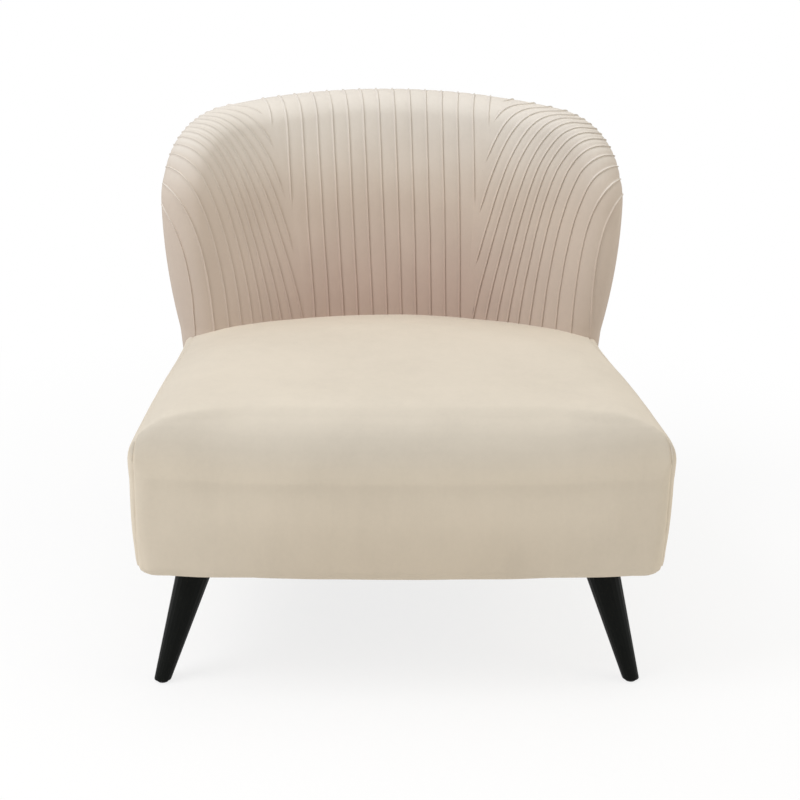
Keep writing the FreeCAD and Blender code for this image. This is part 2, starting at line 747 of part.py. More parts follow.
rail_outer = size("rear_radius") - size("rear_pad")
rail_inner = rail_outer - size("rear_rail_thickness")
rear_body = doc.addObject("PartDesign::Body", "rear_board")
sketch = new_sketch(rear_body, "rear_board_profile")
centre = Vector(0, AXIS_Y, 0)
start = math.pi / 2 - math.radians(size("rear_rail_half_angle"))
end = math.pi - start


def polar(radius, angle, height=0.0):
    """Point about the barrel axis, with the angle from the X axis."""
    return Vector(radius * math.cos(angle), AXIS_Y + radius * math.sin(angle), height)


up_axis = Vector(0, 0, 1)
sketch.addGeometry(Part.ArcOfCircle(Part.Circle(centre, up_axis, rail_outer), start, end))
sketch.addGeometry(Part.LineSegment(polar(rail_outer, end), polar(rail_inner, end)))
sketch.addGeometry(Part.ArcOfCircle(Part.Circle(centre, up_axis, rail_inner), start, end))
sketch.addGeometry(Part.LineSegment(polar(rail_inner, start), polar(rail_outer, start)))
add_pad(rear_body, sketch, RAIL_HEIGHT, "rear_board_pad")
rear_body.Placement.Base = Vector(0, 0, size("rail_bottom"))

# Corner blocks: triangles in front, five-sided behind, where they also meet the bent rail
FRONT_BLOCK_LEG = 130
FRONT_BLOCK_REAR = -180
REAR_BLOCK_FRONT = 20
REAR_BLOCK_REAR = size("side_rail_rear") - 5
REAR_BLOCK_DEPTH = 40
REAR_BLOCK_ANGLES = (0.5, 12)
blocks = []
for side, way in SIDES:
    front_corner = [
        (side_x(FRONT_REAR, INNER_FACE), FRONT_REAR),
        (side_x(FRONT_REAR, INNER_FACE) - FRONT_BLOCK_LEG, FRONT_REAR),
        (side_x(FRONT_BLOCK_REAR, INNER_FACE), FRONT_BLOCK_REAR),
    ]
    near, far = [polar(rail_inner, start + math.radians(angle)) for angle in REAR_BLOCK_ANGLES]
    rear_corner = [
        (side_x(REAR_BLOCK_FRONT, INNER_FACE), REAR_BLOCK_FRONT),
        (side_x(REAR_BLOCK_REAR, INNER_FACE), REAR_BLOCK_REAR),
        (near.x, near.y),
        (far.x, far.y),
        (far.x, far.y - REAR_BLOCK_DEPTH),
    ]
    for row, outline in (("front", front_corner), ("rear", rear_corner)):
        profile = doc.addObject("Part::Polygon", f"block_{row}_{side}_profile")
        profile.Nodes = [Vector(way * x, y, size("rail_bottom")) for x, y in outline]
        profile.Close = True
        block = doc.addObject("Part::Extrusion", f"block_{row}_{side}_blank")
        block.Base = profile
        block.DirMode = "Custom"
        block.Dir = up_axis
        block.Solid = True
        block.setExpression("LengthFwd", "Sizes.block_height")
        blocks.append(cut(f"block_{row}_{side}", block, block_bores[row, side]))
keep(group("block_set", blocks), "corner_blocks")

stretcher_end = AXIS_Y + math.sqrt(rail_inner ** 2 - (size("stretcher_width") / 2) ** 2)
stretcher = box("stretcher", "Sizes.stretcher_width", f"{stretcher_end - FRONT_REAR} mm",
                "Sizes.stretcher_height",
                Vector(-size("stretcher_width") / 2, FRONT_REAR, size("rail_bottom")))
keep(stretcher, "centre_stretcher")

# Webbing: lengthwise straps clear of the back posts, crosswise straps over them
STRAP = size("webbing_width")
LONG_STRAPS = (-248, -182, -64, 0, 64, 182, 248)
CROSS_STRAPS = (-270, -180, -90, 0, 90)
STRAP_SET_IN = 8
lengthwise = []
for i, x in enumerate(LONG_STRAPS):
    reach = abs(x) + STRAP / 2
    rear_y = AXIS_Y + math.sqrt((rail_outer - STRAP_SET_IN) ** 2 - reach ** 2)
    front_y = FRONT_FACE + STRAP_SET_IN
    lengthwise.append(box(f"long_strap_{i}", "Sizes.webbing_width", f"{rear_y - front_y} mm",
                          "Sizes.webbing_thickness", Vector(x - STRAP / 2, front_y, size("rail_top"))))
keep(group("long_straps", lengthwise), "seat_webbing_lengthwise")
crosswise = []
for i, y in enumerate(CROSS_STRAPS):
    half = side_x(y + STRAP, size("side_pad") + STRAP_SET_IN)
    low = Vector(-half, y, size("rail_top") + size("webbing_thickness"))
    crosswise.append(box(f"cross_strap_{i}", f"{2 * half} mm", "Sizes.webbing_width",
                         "Sizes.webbing_thickness", low))
keep(group("cross_straps", crosswise), "seat_webbing_crosswise")
DECK = size("rail_top") + 2 * size("webbing_thickness")

# Back posts, wedges, bolts and the bent plywood shell
POST_BED = 0.15
BOLT_LEVELS = (256, 296)
BOLT_LEAD = 10
WEDGE_DROP = 2
POST_ANGLE = math.radians(size("post_angle"))
POST_FRONT = size("shell_thickness") / 2 - POST_BED
post_bolts = []
post_nuts = []
wedges = []
posts = []
for side, way in SIDES:
    angle = way * POST_ANGLE
    radial = Vector(math.sin(angle), math.cos(angle), 0)
    tangent = Vector(math.cos(angle), -math.sin(angle), 0)
    outward = radial * math.cos(RECLINE) - up_axis * math.sin(RECLINE)
    slant = radial * math.sin(RECLINE) + up_axis * math.cos(RECLINE)
    low = on_barrel(angle * DEVELOP, (size("post_bottom") - LEVEL) / math.cos(RECLINE), -POST_FRONT)
    low = low - tangent * (size("post_width") / 2)
    post = board(f"post_{side}_blank", "Sizes.post_width", "Sizes.post_thickness",
                 f"(Sizes.post_top - Sizes.post_bottom) / {math.cos(RECLINE)}")
    post.Placement = FreeCAD.Placement(FreeCAD.Matrix(
        tangent.x, outward.x, slant.x, low.x,
        tangent.y, outward.y, slant.y, low.y,
        tangent.z, outward.z, slant.z, low.z,
        0, 0, 0, 1))
    side_bolts = []
    for level in BOLT_LEVELS:
        face = barrel_radius(level - size("nut_width") / 2) + POST_FRONT / math.cos(RECLINE)
        reach = barrel_radius(level) - BOLT_LEAD
        base = Vector(0, AXIS_Y, level) + radial * reach
        side_bolts.append(prism(f"post_{side}_bolt_{level}", "bolt_flats", BOLT_RADIUS,
                                f"{rail_outer - reach} mm", base, radial))
        nut = prism(f"post_{side}_nut_{level}_blank", "nut_flats", "Sizes.nut_width / 2", "Sizes.nut_height",
                    Vector(0, AXIS_Y, level) + radial * (face - size("nut_height")), radial)
        post_nuts.append(cut(f"post_{side}_nut_{level}", nut, side_bolts[-1]))
    post_bolts += side_bolts
    bolt_pair = group(f"post_{side}_bolt_pair", side_bolts)
    posts.append(post)
    keep(cut(f"post_{side}", post, bolt_pair), f"back_post_{side}")
    wedge_top = size("rail_top") - WEDGE_DROP
    rear_gap = (POST_FRONT + size("post_thickness")) / math.cos(RECLINE)
    inner_flat = math.sqrt(rail_inner ** 2 - (size("post_width") / 2) ** 2)
    profile = doc.addObject("Part::Polygon", f"wedge_{side}_profile")
    profile.Nodes = [
        Vector(0, AXIS_Y, level) + radial * reach
        for reach, level in (
            (barrel_radius(size("post_bottom")) + rear_gap, size("post_bottom")),
            (inner_flat, size("post_bottom")),
            (inner_flat, wedge_top),
            (barrel_radius(wedge_top) + rear_gap, wedge_top),
        )
    ]
    profile.Close = True
    wedge = doc.addObject("Part::Extrusion", f"wedge_{side}_blank")
    wedge.Base = profile
    wedge.DirMode = "Custom"
    wedge.Dir = tangent
    wedge.Solid = True
    wedge.Symmetric = True
    wedge.setExpression("LengthFwd", "Sizes.post_width")
    wedges.append(cut(f"wedge_{side}", wedge, bolt_pair))
keep(group("wedge_set", wedges), "post_wedges")
bolt_set = group("post_bolt_set", post_bolts)
keep(bolt_set, "post_bolts")
keep(group("post_nut_set", post_nuts), "post_bolt_nuts")
keep(cut("rear_board_bored", rear_body, bolt_set), "rear_rail")
doc.recompute()

# Padding and covers
back_outer = back_form(HALF_PAD, 0, size("back_bottom"))
back_inner = back_form(HALF_PAD - SHIFT, 0, size("back_bottom"))
plywood = back_form(size("shell_thickness") / 2, size("shell_draw_in"), size("shell_bottom"))
keep_shape(plywood, "back_shell")
post_shapes = [post.Shape for post in posts]
keep_shape(back_inner.cut([plywood] + post_shapes), "back_foam")

back_cover = back_outer.cut(back_inner)
core = barrel_core(size("seam_depth"))
keep_shape(back_cover.cut(core), "outside_back_cover")
inside_cover = back_cover.common(core)

SEAM_LOW = -90
SEAM_STEP = 60
PANEL_FLARE = 25
CLEAR = 400
seam_line = [SEAM_LOW] + list(range(0, int(TOP), SEAM_STEP)) + [TOP]
right_seam = [padded_point(panel_centre(up) + panel_seam(up), up, HALF_PAD) for up in seam_line]
left_seam = [padded_point(panel_centre(up) - panel_seam(up), up, HALF_PAD) for up in seam_line]
above = size("overall_height") + HALF_PAD
outline = [Vector(p.x, -CLEAR, p.z) for p in right_seam]
outline += [Vector(right_seam[-1].x + PANEL_FLARE, -CLEAR, above)]
outline += [Vector(left_seam[-1].x - PANEL_FLARE, -CLEAR, above)]
outline += [Vector(p.x, -CLEAR, p.z) for p in reversed(left_seam)]
panel_block = Part.Face(Part.makePolygon(outline + outline[:1])).extrude(Vector(0, 2 * CLEAR, 0))
centre_cover = inside_cover.common(panel_block)
wing_covers = sorted(inside_cover.cut(panel_block).Solids, key=lambda solid: solid.CenterOfMass.x)
reach = int(size("centre_tucks"))
centre_set = [tuck(centre_path(i)) for i in range(-reach, reach + 1)]
keep_shape(centre_cover.multiFuse(centre_set), "inside_centre_panel")
for (side, way), cover in zip(SIDES, (wing_covers[0], wing_covers[-1])):
    wing_set = [tuck(wing_path(k, way)) for k in range(int(size("wing_tucks")))]
    keep_shape(cover.multiFuse(wing_set), f"inside_{side}_wing")

seat_outer = seat_form(0)
seat_inner = seat_form(SHIFT)
seat_cover = seat_outer.cut(seat_inner).cut(back_outer)


def seam_x(y):
    """Where the side seam of the seat cover runs."""
    depth = size("overall_depth")
    part = (y + depth / 2) / depth
    return side_x(y, size("seam_inset_front") * (1 - part) + size("seam_inset_rear") * part)


far = seam_x(CLEAR)
near = seam_x(-CLEAR)
seam_plan = [(-near, -CLEAR), (near, -CLEAR), (far, CLEAR), (-far, CLEAR)]
seam_wire = Part.makePolygon([Vector(x, y, 0) for x, y in seam_plan + seam_plan[:1]])
middle = Part.Face(seam_wire).extrude(Vector(0, 0, size("overall_height")))
mid_cone = barrel_core(0)
middle_cover = seat_cover.common(middle)
keep_shape(middle_cover.common(mid_cone), "seat_top_cover")
keep_shape(largest(middle_cover.cut(mid_cone)), "seat_rear_cover")
side_covers = sorted(seat_cover.cut(middle).Solids, key=lambda solid: solid.CenterOfMass.x)
for (side, way), cover in zip(SIDES, (side_covers[0], side_covers[-1])):
    keep_shape(cover, f"seat_{side}_side_cover")

span = 2 * CLEAR
above_deck = Part.makeBox(span, span, CLEAR, Vector(-CLEAR, -CLEAR, DECK))
keep_shape(seat_inner.common(above_deck).cut([back_outer] + post_shapes), "seat_foam")

PAD_LAP = 4
FRAME_SLACK = 0.6
frame_low = size("rail_bottom")


def frame_plate(height, thickness):
    """Flat plate with the outline of the seat frame, a little larger than the rails."""
    side = size("side_pad") - FRAME_SLACK
    ring = plan_outline(height, size("front_pad") - FRAME_SLACK, side, size("rear_pad") - FRAME_SLACK,
                        size("side_pad") + FRAME_SLACK, size("rear_corner") - side, FRAME_BOW)
    return Part.Face(Part.makePolygon(ring + ring[:1])).extrude(Vector(0, 0, thickness))


frame_block = frame_plate(frame_low - SPARE, DECK - frame_low + 2 * SPARE)
below_deck = Part.makeBox(span, span, DECK - frame_low, Vector(-CLEAR, -CLEAR, frame_low))
padding = seat_inner.common(below_deck).cut(frame_block)
front_limit = FRONT_FACE + PAD_LAP
rear_limit = size("side_rail_rear")
PAD_ZONES = {
    "front": (-CLEAR, CLEAR, -CLEAR, front_limit),
    "left": (-CLEAR, 0, front_limit, rear_limit),
    "right": (0, CLEAR, front_limit, rear_limit),
    "rear": (-CLEAR, CLEAR, rear_limit, CLEAR),
}
for side, (x_low, x_high, y_low, y_high) in PAD_ZONES.items():
    zone = Part.makeBox(x_high - x_low, y_high - y_low, CLEAR, Vector(x_low, y_low, 0))
    keep_shape(padding.common(zone), f"{side}_rail_pad")

cloth = frame_plate(frame_low - size("dust_thickness"), size("dust_thickness"))
keep_shape(cloth.cut([bore.Shape for bore in block_bores.values()]), "dust_cover")

# Check every object, then write one STEP file for each piece
doc.recompute()
for item in doc.Objects:
    if "Invalid" in item.State or "Error" in item.State:
        raise RuntimeError(f"{item.Name} did not build: {item.State}")
os.makedirs("parts", exist_ok=True)
for item in nodes:
    shape = item.Shape
    if shape.isNull() or not shape.isValid():
        raise RuntimeError(f"{item.Label} has no valid shape")
    shape.exportStep(f"parts/{item.Label}.step")
    print(item.Label, len(shape.Solids), round(shape.Volume / 1000, 1))
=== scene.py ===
"""Armless barrel-back lounge chair: velvet seat, tucked back and finishes round the packed frame.

Lengths are metres in the frame of the packed model: front towards -Y, Z up, origin on the floor.
"""

import math
import typing

import bmesh
import bpy
import numpy as np
from bpy.props import FloatProperty, FloatVectorProperty, IntProperty, PointerProperty
from mathutils import Matrix, Vector, noise


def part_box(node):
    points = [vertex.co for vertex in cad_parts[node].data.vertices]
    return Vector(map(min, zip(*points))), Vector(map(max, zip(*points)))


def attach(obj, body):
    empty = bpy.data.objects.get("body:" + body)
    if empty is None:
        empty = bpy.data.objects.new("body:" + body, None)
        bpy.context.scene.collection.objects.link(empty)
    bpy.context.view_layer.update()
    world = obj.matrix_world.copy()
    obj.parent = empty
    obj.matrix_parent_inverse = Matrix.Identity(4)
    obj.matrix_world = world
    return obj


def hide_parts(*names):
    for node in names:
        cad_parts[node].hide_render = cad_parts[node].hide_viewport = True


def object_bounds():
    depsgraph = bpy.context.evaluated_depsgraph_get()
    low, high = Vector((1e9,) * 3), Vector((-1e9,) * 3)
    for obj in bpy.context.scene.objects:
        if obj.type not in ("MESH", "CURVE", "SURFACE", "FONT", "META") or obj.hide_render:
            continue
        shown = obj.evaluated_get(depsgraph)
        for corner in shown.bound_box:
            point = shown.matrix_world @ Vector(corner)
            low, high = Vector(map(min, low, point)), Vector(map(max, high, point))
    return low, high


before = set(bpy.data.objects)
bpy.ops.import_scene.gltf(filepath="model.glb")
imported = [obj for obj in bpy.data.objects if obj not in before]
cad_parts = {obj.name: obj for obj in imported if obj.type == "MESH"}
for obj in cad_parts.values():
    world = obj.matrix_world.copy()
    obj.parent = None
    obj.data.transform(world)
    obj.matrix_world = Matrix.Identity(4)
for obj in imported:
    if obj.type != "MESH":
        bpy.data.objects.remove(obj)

CAD_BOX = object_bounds()

bl_info = {
    "name": "Barrel-back lounge chair",
    "version": (1, 0, 0),
    "blender": (4, 5, 0),
    "location": "View3D > Sidebar > Chair",
    "description": "Upholsters the packed frame of an armless lounge chair with a tucked barrel back",
    "category": "Object",
}

ROOT = "root"


def length(name, description, default):
    """A size in metres."""
    return FloatProperty(name=name, description=description, default=default, unit="LENGTH", precision=4)


def angle(name, description, degrees):
    """An angle, given in degrees."""
    return FloatProperty(name=name, description=description, default=math.radians(degrees), unit="ROTATION")


def number(name, description, default):
    """A plain number."""
    return FloatProperty(name=name, description=description, default=default)


def colour(name, description, default):
    """A scene-linear colour."""
    return FloatVectorProperty(name=name, description=description, default=default, size=3, min=0, max=1,
                               subtype="COLOR")


class ChairSeat(bpy.types.PropertyGroup):
    """Sizes of the seat block."""

    half_width: length("Half width", "Belly of the seat at the widest place", 0.381)
    front: length("Front", "How far the seat reaches forward", -CAD_BOX[0].y)
    bottom: length("Bottom", "Underside of the seat block", 0.193)
    belly: length("Belly", "Height where the block is widest", 0.332)
    crown: length("Crown", "Top of the seat", 0.423)
    crown_inset: length("Crown inset", "Where the crown turns flat", 0.2)
    crown_power: number("Crown power", "Squareness of the top roll", 4.6)
    bottom_inset: length("Bottom inset", "Draw-in of the lower edge", 0.0145)
    lower_power: number("Lower power", "Squareness of the lower edge", 2.2)
    bow: length("Bow", "Bow of the seat front", 0.014)
    front_corner: length("Front corner", "Plan radius of the front corners", 0.028)
    rear_corner: length("Rear corner", "Plan radius of the rear corners", 0.082)
    taper: angle("Taper", "How much each side narrows to the rear", 5.6)
    widest: length("Widest", "Where the sides are measured, from front to rear", -0.309)
    rear_radius: length("Rear radius", "Rear of the block about the barrel axis", 0.571)
    seam_front: length("Seam at the front", "Side seam from the belly line", 0.012)
    seam_rear: length("Seam at the rear", "Side seam from the belly line", 0.02)
    front_reach: length("Front reach", "How far back the roll over the front edge starts", 0.14)
    corner_reach: length("Corner reach", "The same at the front corners", 0.095)
    rear_dip: length("Rear dip", "How far the top sinks towards the back", 0.015)
    rear_reach: length("Rear reach", "From the back to where the top begins to sink", 0.16)
    voxel: length("Voxel", "Mesh size of the simulated cover", 0.006)
    start_inset: length("Start inset", "How much smaller the cover starts before it swells", 0.003)
    swell: length("Swell", "Furthest that a point of the cover moves in the simulation", 0.005)


class ChairBack(bpy.types.PropertyGroup):
    """Sizes of the barrel back."""

    thickness: length("Thickness", "Back pad over its covers", 0.082)
    top: length("Top", "Floor to the crests of the folds on the rim", 0.7593)
    rear: length("Rear", "How far the rim reaches back", 0.37)
    level: length("Level", "Height where the barrel is measured", 0.414)
    radius: length("Radius", "Middle of the pad at that level", 0.52)
    recline: angle("Recline", "Flare of the barrel", 10.5)
    half_angle: angle("Half angle", "From the middle to the wing's spine", 35.7)
    develop: length("Develop", "Radius that turns barrel angle into length", 0.56)
    shoulder: length("Shoulder", "Corner of the rim's spine", 0.097)
    arch: length("Arch", "Top curve of the rim's spine", 2.066)
    seam_depth: length("Seam depth", "Rear seam behind the middle of the pad", 0.02)
    bottom: length("Bottom", "Slant height of the pad's lower end, in the seat", -0.056)
    core: length("Core", "Half thickness of the frame inside the pads", 0.006)
    swell: length("Swell", "How far a wing's side stands out beyond the barrel", 0.01)
    swell_level: length("Swell level", "Slant height where it stands out most", 0.111)
    swell_reach: length("Swell reach", "From there to where the swell ends", 0.125)
    swell_power: number("Swell power", "How closely the swell keeps to the wing's side", 4)
    bulge: length("Bulge", "How far the inside of the back stands out above the seat", 0.01)
    bulge_top: length("Bulge top", "Slant height where the bulge ends", 0.15)


class ChairTucks(bpy.types.PropertyGroup):
    """Sizes of the pin tucks."""

    height: length("Height", "Fold above the cover", 0.0019)
    width: length("Width", "Fold across its root", 0.002)
    dip: length("Dip", "How far the stitching pulls the cover in beside a fold", 0.0004)
    puff: length("Puff", "How far the cover swells between folds", 0.0004)
    centre_count: IntProperty(name="Centre tucks", description="Straight tucks in the middle", default=15)
    wing_count: IntProperty(name="Wing tucks", description="Curved tucks in each wing", default=15)
    low_pitch: length("Low pitch", "Centre tucks at the seat", 0.0287)
    high_pitch: length("High pitch", "Centre tucks at the rim", 0.0266)
    shift: length("Shift", "Middle of the centre panel at the seat", -0.0085)
    lean: length("Lean", "How far the centre panel leans up to the rim", -0.0142)
    half_panel: length("Half panel", "Centre panel at its waist", 0.164)
    spread: length("Spread", "How far the panel seam spreads to the top", 0.036)
    waist: length("Waist", "Slant height where the panel is narrowest", 0.071)


class ChairColours(bpy.types.PropertyGroup):
    """Colours of the finishes."""

    seat_velvet: colour("Seat velvet", "Pile of the seat", (0.7, 0.62, 0.505))
    # painted shade: the seat's pile darkened low down in the middle
    seat_shaded_pile: colour("Seat deep", "Pile low on the seat", (0.665, 0.575, 0.455))
    # painted light: the tone of the seat's top as lit from above
    seat_lit_pile: colour("Seat pale", "Pile on top of the seat", (0.645, 0.588, 0.503))
    back_velvet: colour("Back velvet", "Pile of the back", (0.58, 0.495, 0.42))
    # painted shade: the back's pile darkened low in the middle, just above the seat
    back_shaded_pile: colour("Back deep", "Pile low on the back", (0.455, 0.345, 0.292))
    # painted highlight: paler pile, like sheen, on the rim and on faces turned up
    back_lit_pile: colour("Back pale", "Pile on the rim", (0.685, 0.64, 0.583))
    leg_black: colour("Leg black", "Lacquer of the legs", (0.004, 0.0047, 0.004))
    glide: colour("Glide", "Plastic of the glides", (0.02, 0.02, 0.02))
    wood: colour("Wood", "Rails, posts and blocks", (0.56, 0.38, 0.21))
    ply: colour("Plywood", "Bent shell in the back", (0.6, 0.43, 0.26))
    webbing: colour("Webbing", "Seat straps", (0.16, 0.13, 0.1))
    dust_cloth: colour("Dust cloth", "Cloth under the frame", (0.018, 0.018, 0.019))
    steel: colour("Steel", "Bolts and nuts", (0.55, 0.55, 0.53))
    floor: colour("Floor", "Studio floor", (0.9, 0.9, 0.9))


class ChairStage(bpy.types.PropertyGroup):
    """Camera and lamps."""

    eye: FloatVectorProperty(name="Eye", description="Camera position", default=(-0.1153, -2.861, 1.3586),
                             size=3, subtype="TRANSLATION")
    azimuth: angle("Azimuth", "Turn of the view to the right", 2.472)
    dip: angle("Dip", "Downward tilt of the view", 19.665)
    roll: angle("Roll", "Roll of the camera", 1.03)
    lens: FloatProperty(name="Lens", description="Focal length", default=88.236, unit="CAMERA")
    key: FloatProperty(name="Key", description="Lamp at the upper left", default=66, unit="POWER")
    fill: FloatProperty(name="Fill", description="Lamp at the right", default=22, unit="POWER")
    top: FloatProperty(name="Top", description="Lamp overhead", default=19, unit="POWER")
    sky: number("Sky", "Even light from all round", 0.45)


# Node trees
WHITE = (1.0, 1.0, 1.0)


def shade(rgb, factor):
    """An opaque colour made lighter or darker."""
    return tuple(min(1.0, part * factor) for part in rgb) + (1.0,)


class Value:
    """A node's output that takes part in Python expressions."""

    def __init__(self, nodes, socket):
        self.nodes = nodes
        self.socket = socket

    def maths(self, operation, first, second):
        """A Math node on two values."""
        return self.nodes.node("ShaderNodeMath", {"operation": operation}, {0: first, 1: second})

    def __add__(self, other):
        return self.maths("ADD", self, other)

    def __radd__(self, other):
        return self.maths("ADD", other, self)

    def __sub__(self, other):
        return self.maths("SUBTRACT", self, other)

    def __rsub__(self, other):
        return self.maths("SUBTRACT", other, self)

    def __mul__(self, other):
        return self.maths("MULTIPLY", self, other)

    def __rmul__(self, other):
        return self.maths("MULTIPLY", other, self)


class Nodes:
    """The node tree of a material or a world, filled by one method."""

    def __init__(self, owner):
        owner.use_nodes = True
        self.tree = owner.node_tree
        self.tree.nodes.clear()

    def node(self, kind, settings=None, sockets=None, output=0):
        """Add a node: its settings first, then its sockets' values or links."""
        made = self.tree.nodes.new(kind)
        for key, value in (settings or {}).items():
            if key == "stops":
                ramp = made.color_ramp.elements
                while len(ramp) < len(value):
                    ramp.new(1.0)
                for stop, (place, tone) in zip(ramp, value):
                    stop.position = place
                    stop.color = tone
            else:
                setattr(made, key, value)
        for key, value in (sockets or {}).items():
            if isinstance(value, Value):
                self.tree.links.new(value.socket, made.inputs[key])
            else:
                made.inputs[key].default_value = value
        return Value(self, made.outputs[output]) if made.outputs else None

    def mix(self, factor, first, second, blend="MIX"):
        """Colour between two colours, or the first one blended with the second."""
        return self.node("ShaderNodeMix", {"data_type": "RGBA", "blend_type": blend},
                         {0: factor, 6: first, 7: second}, 2)

    def ramp(self, value, tones, rgb=WHITE):
        """A colour made lighter or darker along a value."""
        stops = [(place, shade(rgb, tone)) for place, tone in tones]
        return self.node("ShaderNodeValToRGB", {"stops": stops}, {0: value})

    def part(self, vector, axis):
        """One part of a vector."""
        return self.node("ShaderNodeSeparateXYZ", None, {0: vector}, axis)

    def place(self, stretch=(1, 1, 1)):
        """Place on the object, stretched along its axes."""
        here = self.node("ShaderNodeTexCoord", output=3)
        return self.node("ShaderNodeMapping", None, {"Vector": here, "Scale": stretch})

    def noise(self, place, scale, detail=2.0, rough=0.5, warp=0.0):
        """Cloudy value from 0 to 1."""
        return self.node("ShaderNodeTexNoise", None, {
            "Vector": place, "Scale": scale, "Detail": detail, "Roughness": rough, "Distortion": warp})

    def between(self, value, low, high):
        """A value from 0 to 1 spread from low to high."""
        return self.node("ShaderNodeMapRange", None, {0: value, 1: 0.0, 2: 1.0, 3: low, 4: high})

    def step(self, value, low, high):
        """Smooth rise from 0 where a value is low to 1 where it is high."""
        return self.node("ShaderNodeMapRange", {"interpolation_type": "SMOOTHSTEP"},
                         {0: value, 1: low, 2: high, 3: 0.0, 4: 1.0})

    def background(self):
        """1 for rays that show the background: from the camera, in gloss and through glass."""
        camera, gloss, glass = (self.node("ShaderNodeLightPath", output=ray) for ray in (0, 3, 6))
        seen = camera + gloss + glass
        return self.node("ShaderNodeMath", {"operation": "MINIMUM"}, {0: seen, 1: 1.0})

    def bump(self, height, strength, distance):
        """Normal from a height."""
        sockets = {"Height": height, "Strength": strength, "Distance": distance}
        return self.node("ShaderNodeBump", None, sockets)


# Finishes
def finish(name, build, constants=None):
    """Material whose build function gives what varies and whose constants are set on the shader."""
    material = bpy.data.materials.new(name)
    nodes = Nodes(material)
    sockets = {**(constants or {}), **build(nodes)}
    surface = nodes.node("ShaderNodeBsdfPrincipled", None, sockets)
    nodes.node("ShaderNodeOutputMaterial", None, {"Surface": surface})
    return material


# Velvet: pairs of a place and a tone, and ranges in which something rises
NAP_LIFT = 1.06  # makes up for the tones of the nap
NAP_TONES = ((0.3, 0.88), (0.5, 0.943), (0.72, 1.0))
# Painted shade over the roll of a front, darkest part way round it
FRONT_ROLL_SHADE = (  # by how far a front faces up
    (0.08, 1.0), (0.3, 0.93), (0.52, 0.86), (0.7, 0.82), (0.84, 0.845), (0.92, 0.91), (0.975, 1.0),
)
# faces turned up across the first pair take the lit pile, a painted light on tops; fronts facing forward past
# the second pair take the painted shade over the roll
UPWARD = (0.3, 0.95)
FORWARD = (0.1, 0.35)
# the painted shade low on a pad keeps to the middle and fades out between these
MIDDLE = (0.08, 0.32)  # metres to either side
ALONG_PILE = (1.0, 1.0, 0.22)


def velvet(name, shaded_pile, pile, lit_pile, shade_heights, lit_heights, front_roll_shade=None):
    """Short-pile velvet with painted shade low in the middle, painted light on top (a paler tone like sheen
    up the rim and on faces turned up), and painted shade over the roll of a front.
    """

    def build(nodes):
        here = nodes.place()
        normal = nodes.node("ShaderNodeNewGeometry", output=1)
        upward = nodes.part(normal, 2)
        clouds = nodes.noise(here, scale=6.5, detail=3.0, rough=0.55, warp=0.4)
        streaks = nodes.noise(nodes.place(ALONG_PILE), scale=46.0, detail=3.0, rough=0.6, warp=0.3)
        mottle = nodes.noise(here, scale=150.0, detail=2.0, rough=0.6)
        fibres = nodes.noise(here, scale=1500.0, detail=2.0, rough=0.7)
        nap = clouds * 0.45 + streaks * 0.2 + mottle * 0.15 + fibres * 0.2
        uneven = nodes.part(here, 2) + (clouds - 0.5) * 0.05
        sideways = nodes.node("ShaderNodeMath", {"operation": "ABSOLUTE"}, {0: nodes.part(here, 0)})
        middle = 1 - nodes.step(sideways, *MIDDLE) * 0.75
        painted_shade_tone, even, light = (shade(tone, NAP_LIFT) for tone in (shaded_pile, pile, lit_pile))
        # painted shade: the pile darkened low down, mostly in the middle
        tone = nodes.mix((1 - nodes.step(uneven, *shade_heights)) * middle, even, painted_shade_tone)
        # painted light: the pile paler high up and on faces turned up, a painted highlight like sheen
        tone = nodes.mix(nodes.step(uneven, *lit_heights), tone, light)
        tone = nodes.mix(nodes.step(upward, *UPWARD), tone, light)
        tone = nodes.mix(1.0, tone, nodes.ramp(nap, NAP_TONES), "MULTIPLY")
        # painted shade over the roll of a front, by how far it faces up
        if front_roll_shade:
            forward = nodes.step(0 - nodes.part(normal, 1), *FORWARD)
            tone = nodes.mix(forward, tone, nodes.ramp(upward, front_roll_shade), "MULTIPLY")
        return {
            "Base Color": tone,
            "Roughness": nodes.between(nap, 0.78, 0.98),
            "Normal": nodes.bump(fibres * 0.6 + mottle * 0.4, strength=0.22, distance=0.0006),
        }

    return finish(name, build, {"Sheen Weight": 0.4, "Sheen Roughness": 0.42, "Sheen Tint": shade(lit_pile, 1.3),
                                "Specular IOR Level": 0.15})


def lacquer(name, paint):
    """Satin black lacquer over fine grain, a little worn and uneven in its gloss."""

    def build(nodes):
        down_leg = nodes.place((1.0, 1.0, 0.07))
        grain = nodes.noise(down_leg, scale=420.0, detail=4.0, rough=0.65, warp=0.6)
        pores = nodes.noise(down_leg, scale=1300.0, detail=2.0, rough=0.5)
        smudge = nodes.noise(nodes.place(), scale=24.0, detail=3.0, rough=0.6)
        return {
            "Base Color": nodes.mix(grain * smudge, shade(paint, 0.7), shade(paint, 2.1)),
            "Roughness": nodes.between(smudge * 0.6 + grain * 0.4, 0.38, 0.6),
            "Normal": nodes.bump(grain * 0.7 + pores * 0.3, strength=0.12, distance=0.0004),
        }

    return finish(name, build, {"Specular IOR Level": 0.08})


def moulded(name, paint):
    """Moulded plastic with a fine grain and scuffs."""

    def build(nodes):
        here = nodes.place()
        grain = nodes.noise(here, scale=2200.0, detail=2.0, rough=0.5)
        scuff = nodes.noise(here, scale=180.0, detail=4.0, rough=0.7, warp=1.0)
        return {
            "Base Color": nodes.mix(scuff, shade(paint, 0.7), shade(paint, 1.8)),
            "Roughness": nodes.between(scuff, 0.42, 0.68),
            "Normal": nodes.bump(grain, strength=0.2, distance=0.0003),
        }

    return finish(name, build)


